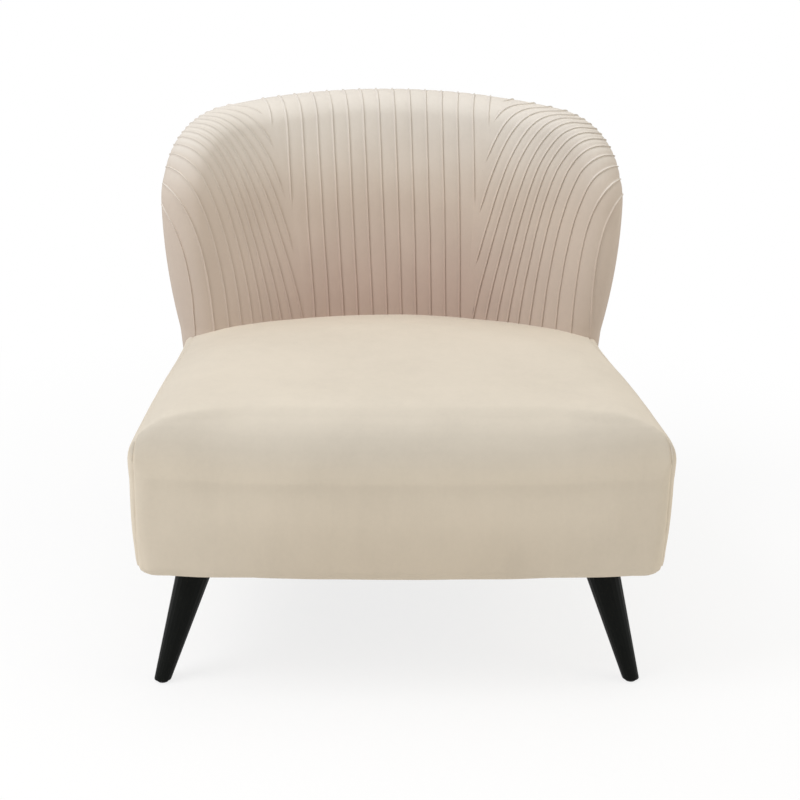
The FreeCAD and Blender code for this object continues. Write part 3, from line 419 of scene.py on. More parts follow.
def timber(name, paint, along):
    """Sawn timber: growth rings, fibres along one axis and pores."""

    def build(nodes):
        stretch = [1.0, 1.0, 1.0]
        stretch[along] = 0.08
        place = nodes.place(tuple(stretch))
        wander = nodes.noise(place, scale=9.0, detail=3.0, rough=0.6, warp=1.2)
        rings = nodes.node("ShaderNodeMath", {"operation": "FRACT"}, {0: wander * 9.0})
        fibre = nodes.noise(place, scale=380.0, detail=4.0, rough=0.7)
        pores = nodes.noise(place, scale=1400.0, detail=2.0, rough=0.5)
        figure = rings * 0.45 + fibre * 0.4 + pores * 0.15
        return {
            "Base Color": nodes.ramp(figure, ((0.15, 1.12), (0.55, 0.92), (0.9, 0.68)), paint),
            "Roughness": nodes.between(fibre, 0.55, 0.8),
            "Normal": nodes.bump(fibre * 0.6 + pores * 0.4, strength=0.25, distance=0.0006),
        }

    return finish(name, build)


WAVE_LENGTH = 0.31  # of a wave texture at scale 1


def woven(name, thread, pitch):
    """Plain weave of flat threads with a worn, dusty surface."""

    def build(nodes):
        here = nodes.place()
        sockets = {"Vector": here, "Scale": WAVE_LENGTH / pitch, "Distortion": 0.6}
        waves = [nodes.node("ShaderNodeTexWave", {"bands_direction": way}, sockets) for way in "XY"]
        across, down = (nodes.node("ShaderNodeRGBToBW", None, {0: wave}) for wave in waves)
        weave = nodes.node("ShaderNodeMath", {"operation": "MAXIMUM"}, {0: across, 1: down})
        fluff = nodes.noise(here, scale=900.0, detail=3.0, rough=0.7)
        dust = nodes.noise(here, scale=14.0, detail=3.0, rough=0.6)
        worn = weave * 0.5 + fluff * 0.3 + dust * 0.2
        return {
            "Base Color": nodes.mix(worn, shade(thread, 0.6), shade(thread, 1.5)),
            "Roughness": nodes.between(fluff, 0.82, 1.0),
            "Normal": nodes.bump(weave * 0.7 + fluff * 0.3, strength=0.4, distance=0.0005),
        }

    return finish(name, build, {"Specular IOR Level": 0.2})


def plated(name, metal):
    """Zinc-plated steel with spangles and a dull bloom."""

    def build(nodes):
        here = nodes.place()
        spangle = nodes.node("ShaderNodeTexVoronoi", None, {"Vector": here, "Scale": 700.0})
        bloom = nodes.noise(here, scale=90.0, detail=4.0, rough=0.65)
        return {
            "Base Color": nodes.mix(bloom, shade(metal, 0.75), shade(metal, 1.1)),
            "Roughness": nodes.between(bloom * 0.6 + spangle * 0.4, 0.25, 0.55),
            "Normal": nodes.bump(bloom, strength=0.08, distance=0.0003),
        }

    return finish(name, build, {"Metallic": 1.0})


# Forms
def smoothstep(value, low, high):
    """Smooth rise from 0 at low to 1 at high."""
    part = np.clip((value - low) / (high - low), 0.0, 1.0)
    return part * part * (3 - 2 * part)


def resample(points, count):
    """Points spread evenly along a polyline."""
    points = np.asarray(points, float)
    steps = np.hypot(*np.diff(points, axis=0).T)
    travel = np.concatenate([[0.0], np.cumsum(steps)])
    even = np.linspace(0.0, travel[-1], count)
    return np.column_stack([np.interp(even, travel, points[:, axis]) for axis in (0, 1)])


class SeatForm:
    """Plan and section of the seat block."""

    ARC_POINTS = 24
    DIP_ENDS = (0.01, 0.07)  # behind the face of the back
    TO_CORNER = (0.2, 0.34)  # from the middle of the front

    def __init__(self, seat, axis_y, face_radius):
        self.seat = seat
        self.axis_y = axis_y
        self.face_radius = face_radius
        self.along = np.array((-math.sin(seat.taper), math.cos(seat.taper)))
        self.inward = np.array((-math.cos(seat.taper), -math.sin(seat.taper)))

    def side_x(self, y, inset):
        """Half width at y, drawn in by an inset."""
        seat = self.seat
        return seat.half_width - (y - seat.widest) * math.tan(seat.taper) - inset / math.cos(seat.taper)

    def seam_x(self, y):
        """Where the side seam runs."""
        share = (y + self.seat.front) / (2 * self.seat.front)
        return self.side_x(y, self.seat.seam_front * (1 - share) + self.seat.seam_rear * share)

    def crown_height(self, inset):
        """Height of the top roll at an inset from the belly."""
        seat = self.seat
        part = max(0.0, 1 - max(inset, 0.0) / seat.crown_inset)
        rise = (1 - part ** seat.crown_power) ** (1 / seat.crown_power)
        return seat.belly + (seat.crown - seat.belly) * rise

    def lower_inset(self, height):
        """Draw-in below the belly."""
        seat = self.seat
        part = (seat.belly - height) / (seat.belly - seat.bottom)
        return seat.bottom_inset * (1 - (1 - part ** seat.lower_power) ** (1 / seat.lower_power))

    def rear_dip(self, points):
        """How far the top sinks along the foot of the back."""
        seat = self.seat
        ahead = self.face_radius - np.hypot(points[:, 0], points[:, 1] - self.axis_y)
        under_back = 1 - smoothstep(-ahead, *self.DIP_ENDS)
        return seat.rear_dip * (1 - smoothstep(ahead, 0.0, seat.rear_reach)) * under_back

    def front_roll(self, points):
        """Height of the long roll over the front edge."""
        seat = self.seat
        behind = points[:, 1] + seat.front - seat.bow * (points[:, 0] / seat.half_width) ** 2
        to_corner = smoothstep(np.abs(points[:, 0]), *self.TO_CORNER)
        reach = seat.front_reach + (seat.corner_reach - seat.front_reach) * to_corner
        share = np.clip(1 - behind / reach, 0.0, 1.0)
        return seat.belly + (seat.crown - seat.belly) * np.sqrt(1 - share ** 2)

    def corner(self, origin, radius, inset, fillet, far):
        """Fillet between the side and an end arc: its centre and its two end angles."""
        start = np.array((self.side_x(0, inset), 0.0)) + self.inward * fillet
        gap = start - origin
        half = gap @ self.along
        root = math.sqrt(half ** 2 - gap @ gap + (radius - fillet) ** 2)
        centre = start + self.along * (-half + root if far else -half - root)
        to_circle = (centre - origin) / np.linalg.norm(centre - origin)
        to_side = math.atan2(-self.inward[1], -self.inward[0])
        return centre, to_side, math.atan2(to_circle[1], to_circle[0])

    def outline(self, inset, count):
        """Closed plan outline drawn in by an inset, as evenly spread points."""
        seat = self.seat
        bow_radius = seat.half_width ** 2 / (2 * seat.bow)
        front = np.array((0.0, bow_radius - seat.front))
        rear = np.array((0.0, self.axis_y))
        front_radius = bow_radius - inset
        rear_radius = seat.rear_radius - inset
        front_fillet = self.corner(front, front_radius, inset, seat.front_corner, False)
        rear_fillet = self.corner(rear, rear_radius, inset, seat.rear_corner, True)
        front_centre, front_side, front_end = front_fillet
        rear_centre, rear_side, rear_end = rear_fillet

        def arc(centre, radius, low, high):
            turns = np.linspace(low, high, self.ARC_POINTS)
            return [centre + radius * np.array((math.cos(turn), math.sin(turn))) for turn in turns]

        right = arc(front, front_radius, -math.pi / 2, front_end)
        right += arc(front_centre, seat.front_corner, front_end, front_side)
        right += arc(rear_centre, seat.rear_corner, rear_side, rear_end)
        right += arc(rear, rear_radius, rear_end, math.pi / 2)
        half = resample(right, count // 2 + 1)
        left = half[-2:0:-1] * np.array((-1.0, 1.0))
        return np.concatenate([half, left])


class Barrel:
    """The flared back laid flat: along its curve and up its slant, with a half-round rim."""

    def __init__(self, back, tucks):
        self.half = back.thickness / 2
        self.recline = back.recline
        self.level = back.level
        self.radius = back.radius
        self.develop = back.develop
        self.back = back
        spine_top = back.top - self.half - tucks.height
        self.axis_y = back.rear - self.half - self.radius_at(spine_top)
        self.edge = back.develop * back.half_angle
        self.shoulder = back.shoulder
        self.arch = back.arch
        self.top = (spine_top - back.level) / math.cos(back.recline)
        self.arch_centre = self.top - back.arch
        self.shoulder_along = self.edge - back.shoulder
        run = back.arch - back.shoulder
        self.shoulder_up = self.arch_centre + math.sqrt(run ** 2 - self.shoulder_along ** 2)
        self.arch_sine = self.shoulder_along / run
        seam_turn = math.asin(back.seam_depth / self.half)
        self.front_roll = self.half * (math.pi / 2 + seam_turn)
        self.rear_roll = self.half * (math.pi / 2 - seam_turn)

    def radius_at(self, height):
        """Radius of the middle of the pad at a height."""
        return self.radius + (height - self.level) * math.tan(self.recline)

    def to_side(self, along):
        """Rise from 0 in the middle to 1 at the spine of a wing's side."""
        return np.minimum(1.0, np.abs(along) / self.edge) ** self.back.swell_power

    def swell(self, along, up):
        """How far points stand out sideways in the swell of a wing."""
        back = self.back
        part = (up - back.swell_level) / back.swell_reach
        return back.swell * np.sign(along) * np.maximum(0.0, 1 - part ** 2) * self.to_side(along)

    def bulge(self, along, up):
        """How far the inside of the back stands out above the seat."""
        back = self.back
        return back.bulge * (1 - smoothstep(up, 0.0, back.bulge_top)) * (1 - self.to_side(along))

    def on_barrel(self, along, up, out):
        """Points at a length along and up the barrel, raised by out towards the sitter."""
        turn = (along + self.swell(along, up)) / self.develop
        height = self.level + up * math.cos(self.recline)
        reach = self.radius_at(height) - out * math.cos(self.recline)
        return np.stack([reach * np.sin(turn), self.axis_y + reach * np.cos(turn),
                         height + out * math.sin(self.recline)], axis=-1)

    def rim_offset(self, along, up):
        """How far points lie outside the rim's spine, and the way out."""
        way = np.where(along < 0, -1.0, 1.0)
        reach = np.abs(along)
        rise = up - self.arch_centre
        far = np.hypot(reach, rise)
        across = reach - self.shoulder_along
        above = up - self.shoulder_up
        round_corner = np.maximum(np.hypot(across, above), 1e-9)
        in_arch = np.arctan2(reach, rise) <= math.asin(self.arch_sine)
        in_corner = ~in_arch & (across > 0) & (above > 0)

        def choose(on_arch, on_corner, on_side):
            return np.where(in_arch, on_arch, np.where(in_corner, on_corner, on_side))

        out = choose(far - self.arch, round_corner - self.shoulder, reach - self.edge)
        way_along = way * choose(reach / far, across / round_corner, 1.0)
        return out, way_along, choose(rise / far, above / round_corner, 0.0)

    def padded(self, along, up, half, side=1):
        """Points on the padded surface, on the barrel's face or round the roll; side -1 is the rear."""
        out, way_along, way_up = self.rim_offset(along, up)
        turn = math.pi / 2 - np.maximum(out, 0.0) / self.half
        reach = np.where(out > 0, half * np.cos(turn) - out, 0.0)
        return self.on_barrel(along + way_along * reach, up + way_up * reach, side * half * np.sin(turn))

    def rim_up(self, along, grow):
        """Slant height of a line set out from the rim's spine."""
        reach = np.abs(along)
        arch = self.arch + grow
        on_arch = self.arch_centre + np.sqrt(np.maximum(arch ** 2 - reach ** 2, 0.0))
        corner = self.shoulder + grow
        across = reach - self.shoulder_along
        on_corner = self.shoulder_up + np.sqrt(np.maximum(corner ** 2 - across ** 2, 0.0))
        return np.where(reach <= arch * self.arch_sine, on_arch, on_corner)


class WingLines(typing.NamedTuple):
    """How a wing's tucks run: coefficients, the highest power first, by number or by place from -1 to 1."""

    seam_starts: tuple
    seat_starts: tuple
    rim_ends: tuple
    rim_heights: tuple
    leans: tuple
    droops: tuple
    rises: tuple
    runs: tuple


WING_LINES = {
    1: WingLines(
        seam_starts=(0.001463, -0.01436, -0.03547, 0.339),
        seat_starts=(0.0001774, -0.00163, 0.02489, 0.1745),
        rim_ends=(-9.989e-05, -3.942e-05, 0.03462, 0.292),
        rim_heights=(7.951e-08, 0, 0, -0.0006843, -0.006024, 0.351),
        leans=(-1.011, -4.266, -15.61, 5.957),
        droops=(12.75, 30.71, 27.05),
        rises=(0.1666, 1.12),
        runs=(0.1681, 0.7857),
    ),
    -1: WingLines(
        seam_starts=(0.001489, -0.01455, -0.03364, 0.3499),
        seat_starts=(0.0001856, -0.001684, 0.02462, 0.1713),
        rim_ends=(-9.815e-05, -0.0001364, 0.03347, 0.2973),
        rim_heights=(-3.297e-09, 0, 0, -0.0006117, -0.005046, 0.3481),
        leans=(4.648, -5.209, -16.39, 6.512),
        droops=(13.26, 33.74, 42.09),
        rises=(0.2311, 1.026),
        runs=(0.3103, 0.6619),
    ),
}


class TuckPlan:
    """Where the panel seams and the tucks run on the laid-out back."""

    FROM_SEAT = 5  # first wing tuck that starts at the seat; those before it start on the panel seam
    CLEAR = 0.0034  # from the panel seam to tuck 2
    RUN_GAP = 0.0008  # more of it for each tuck after that
    SQUEEZE = 0.04  # share of its width that a fold has before it is sewn
    SEWN = (0.0012, 0.007)  # way off the panel seam in which a fold rises
    LEAST_RUN = 0.02  # least reach that a curve's upper handle is taken from
    ON_ROLL = (0.024, 0, 0, 0, 0.044)  # where a tuck begins to turn outwards on the roll, by its number
    ROLL_SHARE = 0.022  # least way over the roll before that, for a tuck from the seat
    TURN_LENGTH = 0.02  # way over the roll in which it turns
    RUN_ON = (0.02, 0.05)  # way in which it turns in any case
    STEP = 0.001
    CURVE_POINTS = 160
    BESIDE_POINTS = 40
    SEAM_POINTS = 60
    SEAM_RISE = 0.03  # from the rim's spine to where the seam has spread
    SEAT_SEARCH = (-0.04, 0.03, 0.0005)  # slant heights from, to and step
    ABOVE_SEAT = 0.001

    def __init__(self, barrel, seat_form, back, tucks):
        self.barrel = barrel
        self.seat_form = seat_form
        self.back = back
        self.tucks = tucks

    def centre(self, up):
        """Middle of the centre panel, which leans a little."""
        return self.tucks.shift + self.tucks.lean * up / self.barrel.top

    def seam(self, up):
        """Half width of the centre panel."""
        tucks = self.tucks
        top = self.barrel.top + self.SEAM_RISE
        return tucks.half_panel + tucks.spread * ((up - tucks.waist) / (top - tucks.waist)) ** 2

    def seam_side(self, up, way):
        """Panel seam on one side, from the middle of the barrel."""
        return self.seam(up) + way * self.centre(up)

    def seat_line(self, along):
        """Slant height where the padded face comes out of the seat."""
        form = self.seat_form
        up, stop, step = self.SEAT_SEARCH
        while up < stop:
            x, y, z = self.barrel.on_barrel(along, up, self.barrel.half)
            rear = form.seat.rear_radius - math.hypot(x, y - form.axis_y)
            side = (form.side_x(y, 0.0) - abs(x)) * math.cos(form.seat.taper)
            if z > form.crown_height(min(rear, side)) + self.ABOVE_SEAT:
                break
            up += step
        return up

    def start(self, k, way):
        """Where a wing's tuck starts, and its gap to the panel seam if it starts there."""
        lines = WING_LINES[way]
        if k < self.FROM_SEAT:
            up = np.polyval(lines.seam_starts, k)
            gap = self.CLEAR + (k - 2) * self.RUN_GAP
            return self.seam_side(up, way) + gap, up, gap
        order = k - self.FROM_SEAT
        along = np.polyval(lines.seat_starts, order)
        along += way * self.centre(0.0) * (1 - order / (self.tucks.wing_count - 1 - self.FROM_SEAT))
        return along, self.seat_line(along), None

    def over_roll(self, points, turn_from):
        """Carry a tuck on over the roll to the rear seam, turning it straight outwards."""
        here = np.array(points[-1])
        onward = here - points[-2]
        onward /= np.linalg.norm(onward)
        run_on = 0.0
        out, out_along, out_up = self.barrel.rim_offset(here[0], here[1])
        while out < self.barrel.front_roll:
            turned = max(smoothstep(out, turn_from, turn_from + self.TURN_LENGTH),
                         smoothstep(run_on, *self.RUN_ON))
            step = onward * (1 - turned) + np.array((out_along, out_up)) * turned
            here = here + step * (self.STEP / np.linalg.norm(step))
            points.append(tuple(here))
            run_on += self.STEP
            out, out_along, out_up = self.barrel.rim_offset(here[0], here[1])

    def wing_line(self, k, way, rows):
        """A wing's tuck as points from the pad's bottom to the rear seam, and where the fold is sewn."""
        lines = WING_LINES[way]
        bottom = self.back.bottom
        place = k / (self.tucks.wing_count - 1)
        bend = 2 * place - 1
        low_along, low_up, gap = self.start(k, way)
        high_along = np.polyval(lines.rim_ends, k)
        high_up = np.polyval(lines.rim_heights, k)
        lean = math.radians(np.polyval(lines.leans, bend))
        droop = math.radians(np.polyval(lines.droops, bend))
        rise = np.polyval(lines.rises, bend) * (high_up - low_up)
        run = np.polyval(lines.runs, bend) * max(high_along - low_along, self.LEAST_RUN)
        poles = np.array([
            (low_along, low_up),
            (low_along + rise * math.sin(lean), low_up + rise * math.cos(lean)),
            (high_along - run * math.cos(droop), high_up + run * math.sin(droop)),
            (high_along, high_up),
        ])
        turn_from = np.polyval(self.ON_ROLL, place)
        if gap is None:
            points = [(low_along - (low_up - bottom) * math.tan(lean), bottom)]
            on_roll = self.barrel.rim_offset(low_along, low_up)[0]
            turn_from = max(turn_from, on_roll + self.ROLL_SHARE)
        else:
            ups = np.linspace(bottom, low_up, self.BESIDE_POINTS)[:-1]
            points = [(self.seam_side(up, way) + gap, up) for up in ups]
        for t in np.linspace(0.0, 1.0, self.CURVE_POINTS):
            weights = np.array(((1 - t) ** 3, 3 * (1 - t) ** 2 * t, 3 * (1 - t) * t ** 2, t ** 3))
            here = weights @ poles
            if self.barrel.rim_offset(here[0], here[1])[0] > turn_from:
                break
            points.append(tuple(here))
        self.over_roll(points, turn_from)
        line = resample(points, rows)
        if gap is None:
            return line, np.ones(rows)
        from_seam = line[:, 0] - self.seam_side(line[:, 1], way)
        low, high = self.SEWN
        return line, smoothstep(from_seam, gap + low, gap + high)

    def seam_path(self, way, rows):
        """The panel seam from the pad's bottom over the roll to the rear seam."""
        ups = list(np.linspace(self.back.bottom, self.barrel.top, self.SEAM_POINTS))
        while True:
            along = self.seam_side(ups[-1], way)
            if self.barrel.rim_offset(along, ups[-1])[0] >= self.barrel.front_roll:
                break
            ups.append(ups[-1] + self.STEP)
        return resample([(self.seam_side(up, way), up) for up in ups], rows)

    def end_path(self, stop_up, rows):
        """The rear seam down the side of a wing."""
        along = self.barrel.edge + self.barrel.front_roll
        return resample([(along, self.back.bottom), (along, stop_up)], rows)


# Profile of a sewn fold, laid over to the right: place across it in widths of its root, share of its height,
# share of the dip beside it
FOLD = (
    (-2.2, 0.0, 0.2), (-1.0, 0.0, 0.6), (-0.72, 0.1, 0.3), (-0.3, 0.72, 0.0), (0.12, 1.0, 0.0),
    (0.42, 0.86, 0.0), (0.5, 0.2, 0.3), (0.66, 0.0, 1.0), (1.5, 0.0, 0.3),
)
FOLD_MIRRORED = tuple((-place, rise, dip) for place, rise, dip in reversed(FOLD))
BETWEEN = (0.3, 0.7)  # places of the columns from one fold to the next
EDGE_DEPTH = 0.006
EDGE_REACH = 0.002
SEAM_PULL = 0.0022
SEAM_REACH = 0.0035
SEEDS_APART = 3.7
WANDERS = 21.0
DRIFT = 0.0005  # sideways wander of a fold
UNEVEN = 0.12  # share by which its height varies
SHARP = math.radians(62)


def wobble(seed, travel, size):
    """Small hand-sewn wander along a seam, the same in each run."""
    places = [Vector((seed * SEEDS_APART, step * WANDERS, 0.5)) for step in travel]
    return size * np.array([noise.noise(place) for place in places])


def seam_pull(distance):
    """How far a cover is pulled in at a distance from its rear seam."""
    return SEAM_PULL * np.exp(-(np.maximum(distance, 0.0) / SEAM_REACH) ** 2)


def quads(index):
    """Faces between the rows and columns of a grid of vertex numbers."""
    corners = (index[:-1, :-1], index[:-1, 1:], index[1:, 1:], index[1:, :-1])
    return np.stack(corners, axis=-1).reshape(-1, 4).tolist()


def tucked_pad(barrel, columns, way, inner_rows, flip):
    """Closed pad of an inside panel from its columns: laid-out places and heights above the cover."""
    along, up, height = (np.stack(parts, axis=1) for parts in zip(*columns))
    pull = seam_pull(barrel.front_roll - barrel.rim_offset(along, up)[0])
    height = height + barrel.bulge(along, up) - pull
    return closed_pad(barrel, way * along, up, height, inner_rows, flip)


def closed_pad(barrel, along, up, height, inner_rows, flip, side=1):
    """Vertices and faces of a pad: points raised by their heights and backed at the frame inside it."""
    outer = barrel.padded(along, up, barrel.half + height, side)
    picks = np.linspace(along.shape[0] - 1, 0, inner_rows).round().astype(int)
    core = np.full(along[picks].shape, barrel.back.core)
    grid = np.concatenate([outer, barrel.padded(along[picks], up[picks], core, side)])
    rows, cols = grid.shape[:2]
    index = np.arange(rows * cols).reshape(rows, cols)
    faces = quads(np.concatenate([index, index[:1]]))
    faces += [index[::-1, 0].tolist(), index[:, -1].tolist()]
    if flip:
        faces = [face[::-1] for face in faces]
    return grid.reshape(-1, 3), faces


def meshed(name, points, faces):
    """A mesh from an array of points and its faces."""
    mesh = bpy.data.meshes.new(name)
    mesh.from_pydata(points.tolist(), [], faces)
    return mesh


def placed(name, data):
    """An object in the scene."""
    item = bpy.data.objects.new(name, data)
    bpy.context.scene.collection.objects.link(item)
    return item


def new_piece(name, points, faces, material, stands_for):
    """A mesh piece of the chair that rides on the frame and stands for CAD nodes."""
    mesh = meshed(name, points, faces)
    if mesh.validate():
        raise RuntimeError(f"{name} has broken faces")
    return settle(placed(name, mesh), material, stands_for)


def settle(piece, material, stands_for):
    """Give a piece its finish and its body, and hide the nodes that it stands for."""
    piece.data.materials.clear()
    piece.data.materials.append(material)
    piece.data.shade_smooth()
    piece.data.set_sharp_from_angle(angle=SHARP)
    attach(piece, ROOT)
    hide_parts(*stands_for)
    return piece


def paint(nodes, material):
    """Give CAD nodes a finish."""
    for name in nodes:
        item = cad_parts[name]
        item.data.materials.clear()
        item.data.materials.append(material)


def forms():
    """Barrel, seat form and tuck plan from the scene's settings."""
    scene = bpy.context.scene
    barrel = Barrel(scene.chair_back, scene.chair_tucks)
    seat_form = SeatForm(scene.chair_seat, barrel.axis_y, barrel.radius - barrel.half)
    return barrel, seat_form, TuckPlan(barrel, seat_form, scene.chair_back, scene.chair_tucks)


def back_finish():
    """The back's velvet, made once."""
    known = bpy.data.materials.get("back_velvet")
    colours = bpy.context.scene.chair_colours
    # the back's velvet, with painted shade low in the middle and a painted highlight on the rim
    return known or velvet("back_velvet", colours.back_shaded_pile, colours.back_velvet, colours.back_lit_pile,
                           shade_heights=(0.42, 0.66), lit_heights=(0.58, 0.755))


def seat_finish():
    """The seat's velvet."""
    colours = bpy.context.scene.chair_colours
    # the seat's velvet, with painted shade low down and over its front roll, and painted light on its top
    return velvet("seat_velvet", colours.seat_shaded_pile, colours.seat_velvet, colours.seat_lit_pile,
                  shade_heights=(0.2, 0.4), lit_heights=(0.5, 0.6), front_roll_shade=FRONT_ROLL_SHADE)


class CHAIR_OT_centre_panel(bpy.types.Operator):
    """Centre panel of the inside back, with its straight pin tucks"""

    bl_idname = "chair.centre_panel"
    bl_label = "Centre Panel"

    ROWS = 112
    INNER_ROWS = 12
    STACK = (0.0004, 0.00015)  # from the seam to the last column, and between columns pressed against it
    RISES = (0.0025, 0.0065)  # from the seam to where a fold begins and has its height

    def spots(self, tucks):
        """Columns of the panel: tuck number, place beside it, and shares of a fold's height and dip."""
        reach = tucks.centre_count // 2
        for i in range(-reach, reach + 1):
            for place, rise, dip in FOLD:
                yield i, place * tucks.width, rise, dip
            if i < reach:
                for part in BETWEEN:
                    yield i + part, 0.0, None, 0.0

    def execute(self, context):
        barrel, _, plan = forms()
        tucks = context.scene.chair_tucks
        spots = list(self.spots(tucks))
        share = np.linspace(0.0, 1.0, self.ROWS)
        bottom = context.scene.chair_back.bottom
        first, apart = self.STACK
        columns = []
        for order, (i, offset, rise, dip) in enumerate(spots):
            top_along = np.array(plan.centre(barrel.top) + i * tucks.high_pitch)
            end = float(barrel.rim_up(top_along, barrel.front_roll))
            up = bottom + share * (end - bottom)
            line = i * (tucks.low_pitch + (tucks.high_pitch - tucks.low_pitch) * up / barrel.top)
            whole = round(i)
            drift = wobble(whole, up, DRIFT) if rise is not None else 0.0
            side = 1 if i >= 0 else -1
            limit = plan.seam(up) - ((len(spots) - 1 - order if side > 0 else order) * apart + first)
            inside = np.minimum(side * (line + offset + drift), limit)
            live = smoothstep(plan.seam(up) - side * line, *self.RISES)
            if rise is None:
                height = tucks.puff * live
            else:
                uneven = 1 + wobble(whole + 40, up, UNEVEN)
                height = (rise * tucks.height * uneven - dip * tucks.dip) * live
            columns.append((plan.centre(up) + side * inside, up, height))
        for side in (-1, 1):
            seam = plan.seam_path(side, self.ROWS)
            for reach, depth in ((0.0, 0.0), (EDGE_REACH, -EDGE_DEPTH)):
                column = (side * (seam[:, 0] + reach), seam[:, 1], np.full(self.ROWS, depth))
                columns.insert(0 if side < 0 else len(columns), column)
        points, faces = tucked_pad(barrel, columns, 1, self.INNER_ROWS, True)
        new_piece("centre_tucked_panel", points, faces, back_finish(),
                  ["inside_centre_panel", "back_foam"])
        return {"FINISHED"}


class CHAIR_OT_wings(bpy.types.Operator):
    """Wings of the inside back, with their curved pin tucks"""

    bl_idname = "chair.wings"
    bl_label = "Wings"

    ROWS = 128
    INNER_ROWS = 14
    TRAVEL = 0.45  # length of a tuck for its wander
    TO_END = (0.4, 0.75, 1.0)  # places of the columns from the last fold to the rear seam

    def between(self, near, far, part, height):
        """Column between two others."""
        return *(near[axis] * (1 - part) + far[axis] * part for axis in (0, 1)), height

    def folds(self, plan, tucks, k, way):
        """Columns of one fold, and where it is sewn."""
        line, sewn = plan.wing_line(k, way, self.ROWS)
        travel = np.linspace(0.0, self.TRAVEL, self.ROWS)
        tangent = np.gradient(line, axis=0)
        tangent /= np.linalg.norm(tangent, axis=1)[:, None]
        across = np.stack([tangent[:, 1], -tangent[:, 0]], axis=1)
        spread = plan.SQUEEZE + (1 - plan.SQUEEZE) * sewn
        drift = wobble(k + 11 * way, travel, DRIFT) * sewn
        uneven = 1 + wobble(k + 60 + 11 * way, travel, UNEVEN)
        folds = []
        for place, rise, dip in FOLD if way > 0 else FOLD_MIRRORED:
            point = line + across * (place * tucks.width * spread + drift)[:, None]
            height = (rise * tucks.height * uneven - dip * tucks.dip) * sewn
            folds.append((point[:, 0], point[:, 1], height))
        return folds, sewn, line[-1, 1]

    def wing(self, way):
        """One wing's closed mesh."""
        barrel, _, plan = forms()
        tucks = bpy.context.scene.chair_tucks
        flat, sunk = np.zeros(self.ROWS), np.full(self.ROWS, -EDGE_DEPTH)
        seam = plan.seam_path(way, self.ROWS)
        columns = [(seam[:, 0] - EDGE_REACH, seam[:, 1], sunk), (seam[:, 0], seam[:, 1], flat)]
        before = None
        for k in range(tucks.wing_count):
            folds, sewn, top = self.folds(plan, tucks, k, way)
            if before is not None:
                near = columns[-1]
                puff = tucks.puff * np.minimum(sewn, before)
                columns += [self.between(near, folds[0], part, puff) for part in BETWEEN]
            columns += folds
            before = sewn
        end = plan.end_path(top, self.ROWS)
        near = columns[-1]
        columns += [self.between(near, end.T, part, flat) for part in self.TO_END]
        columns.append((end[:, 0] + EDGE_REACH, end[:, 1], sunk))
        return tucked_pad(barrel, columns, way, self.INNER_ROWS, way > 0)

    def execute(self, context):
        for side, way in (("left", -1), ("right", 1)):
            points, faces = self.wing(way)
            new_piece(f"{side}_tucked_wing", points, faces, back_finish(),
                      [f"inside_{side}_wing"])
        return {"FINISHED"}


class CHAIR_OT_outside_back(bpy.types.Operator):
    """Plain outside panel of the back"""

    bl_idname = "chair.outside_back"
    bl_label = "Outside Back"

    COLUMNS = 120
    ROWS = 60
    INNER_ROWS = 14
    CROWD = math.pi / 2 * 0.94  # turn by which the columns crowd towards the sides
    SWELL = 0.0012
    SWELLS = (0.01, 0.09)  # from the seam to where the swell begins and is full

    def execute(self, context):
        barrel, _, _ = forms()
        reach = barrel.edge + barrel.rear_roll
        turn = np.linspace(-1.0, 1.0, self.COLUMNS)
        along = reach * np.sin(turn * self.CROWD) / math.sin(self.CROWD)
        top = barrel.rim_up(along, barrel.rear_roll)
        bottom = context.scene.chair_back.bottom
        share = np.linspace(0.0, 1.0, self.ROWS)[:, None]
        up = bottom + share * (top - bottom)[None, :]
        along = np.repeat(along[None, :], self.ROWS, axis=0)
        to_seam = barrel.rear_roll - barrel.rim_offset(along, up)[0]
        height = self.SWELL * smoothstep(to_seam, *self.SWELLS) - seam_pull(to_seam)
        points, faces = closed_pad(barrel, along, up, height, self.INNER_ROWS, False, -1)
        new_piece("outside_back_panel", points, faces, back_finish(),
                  ["outside_back_cover"])
        return {"FINISHED"}


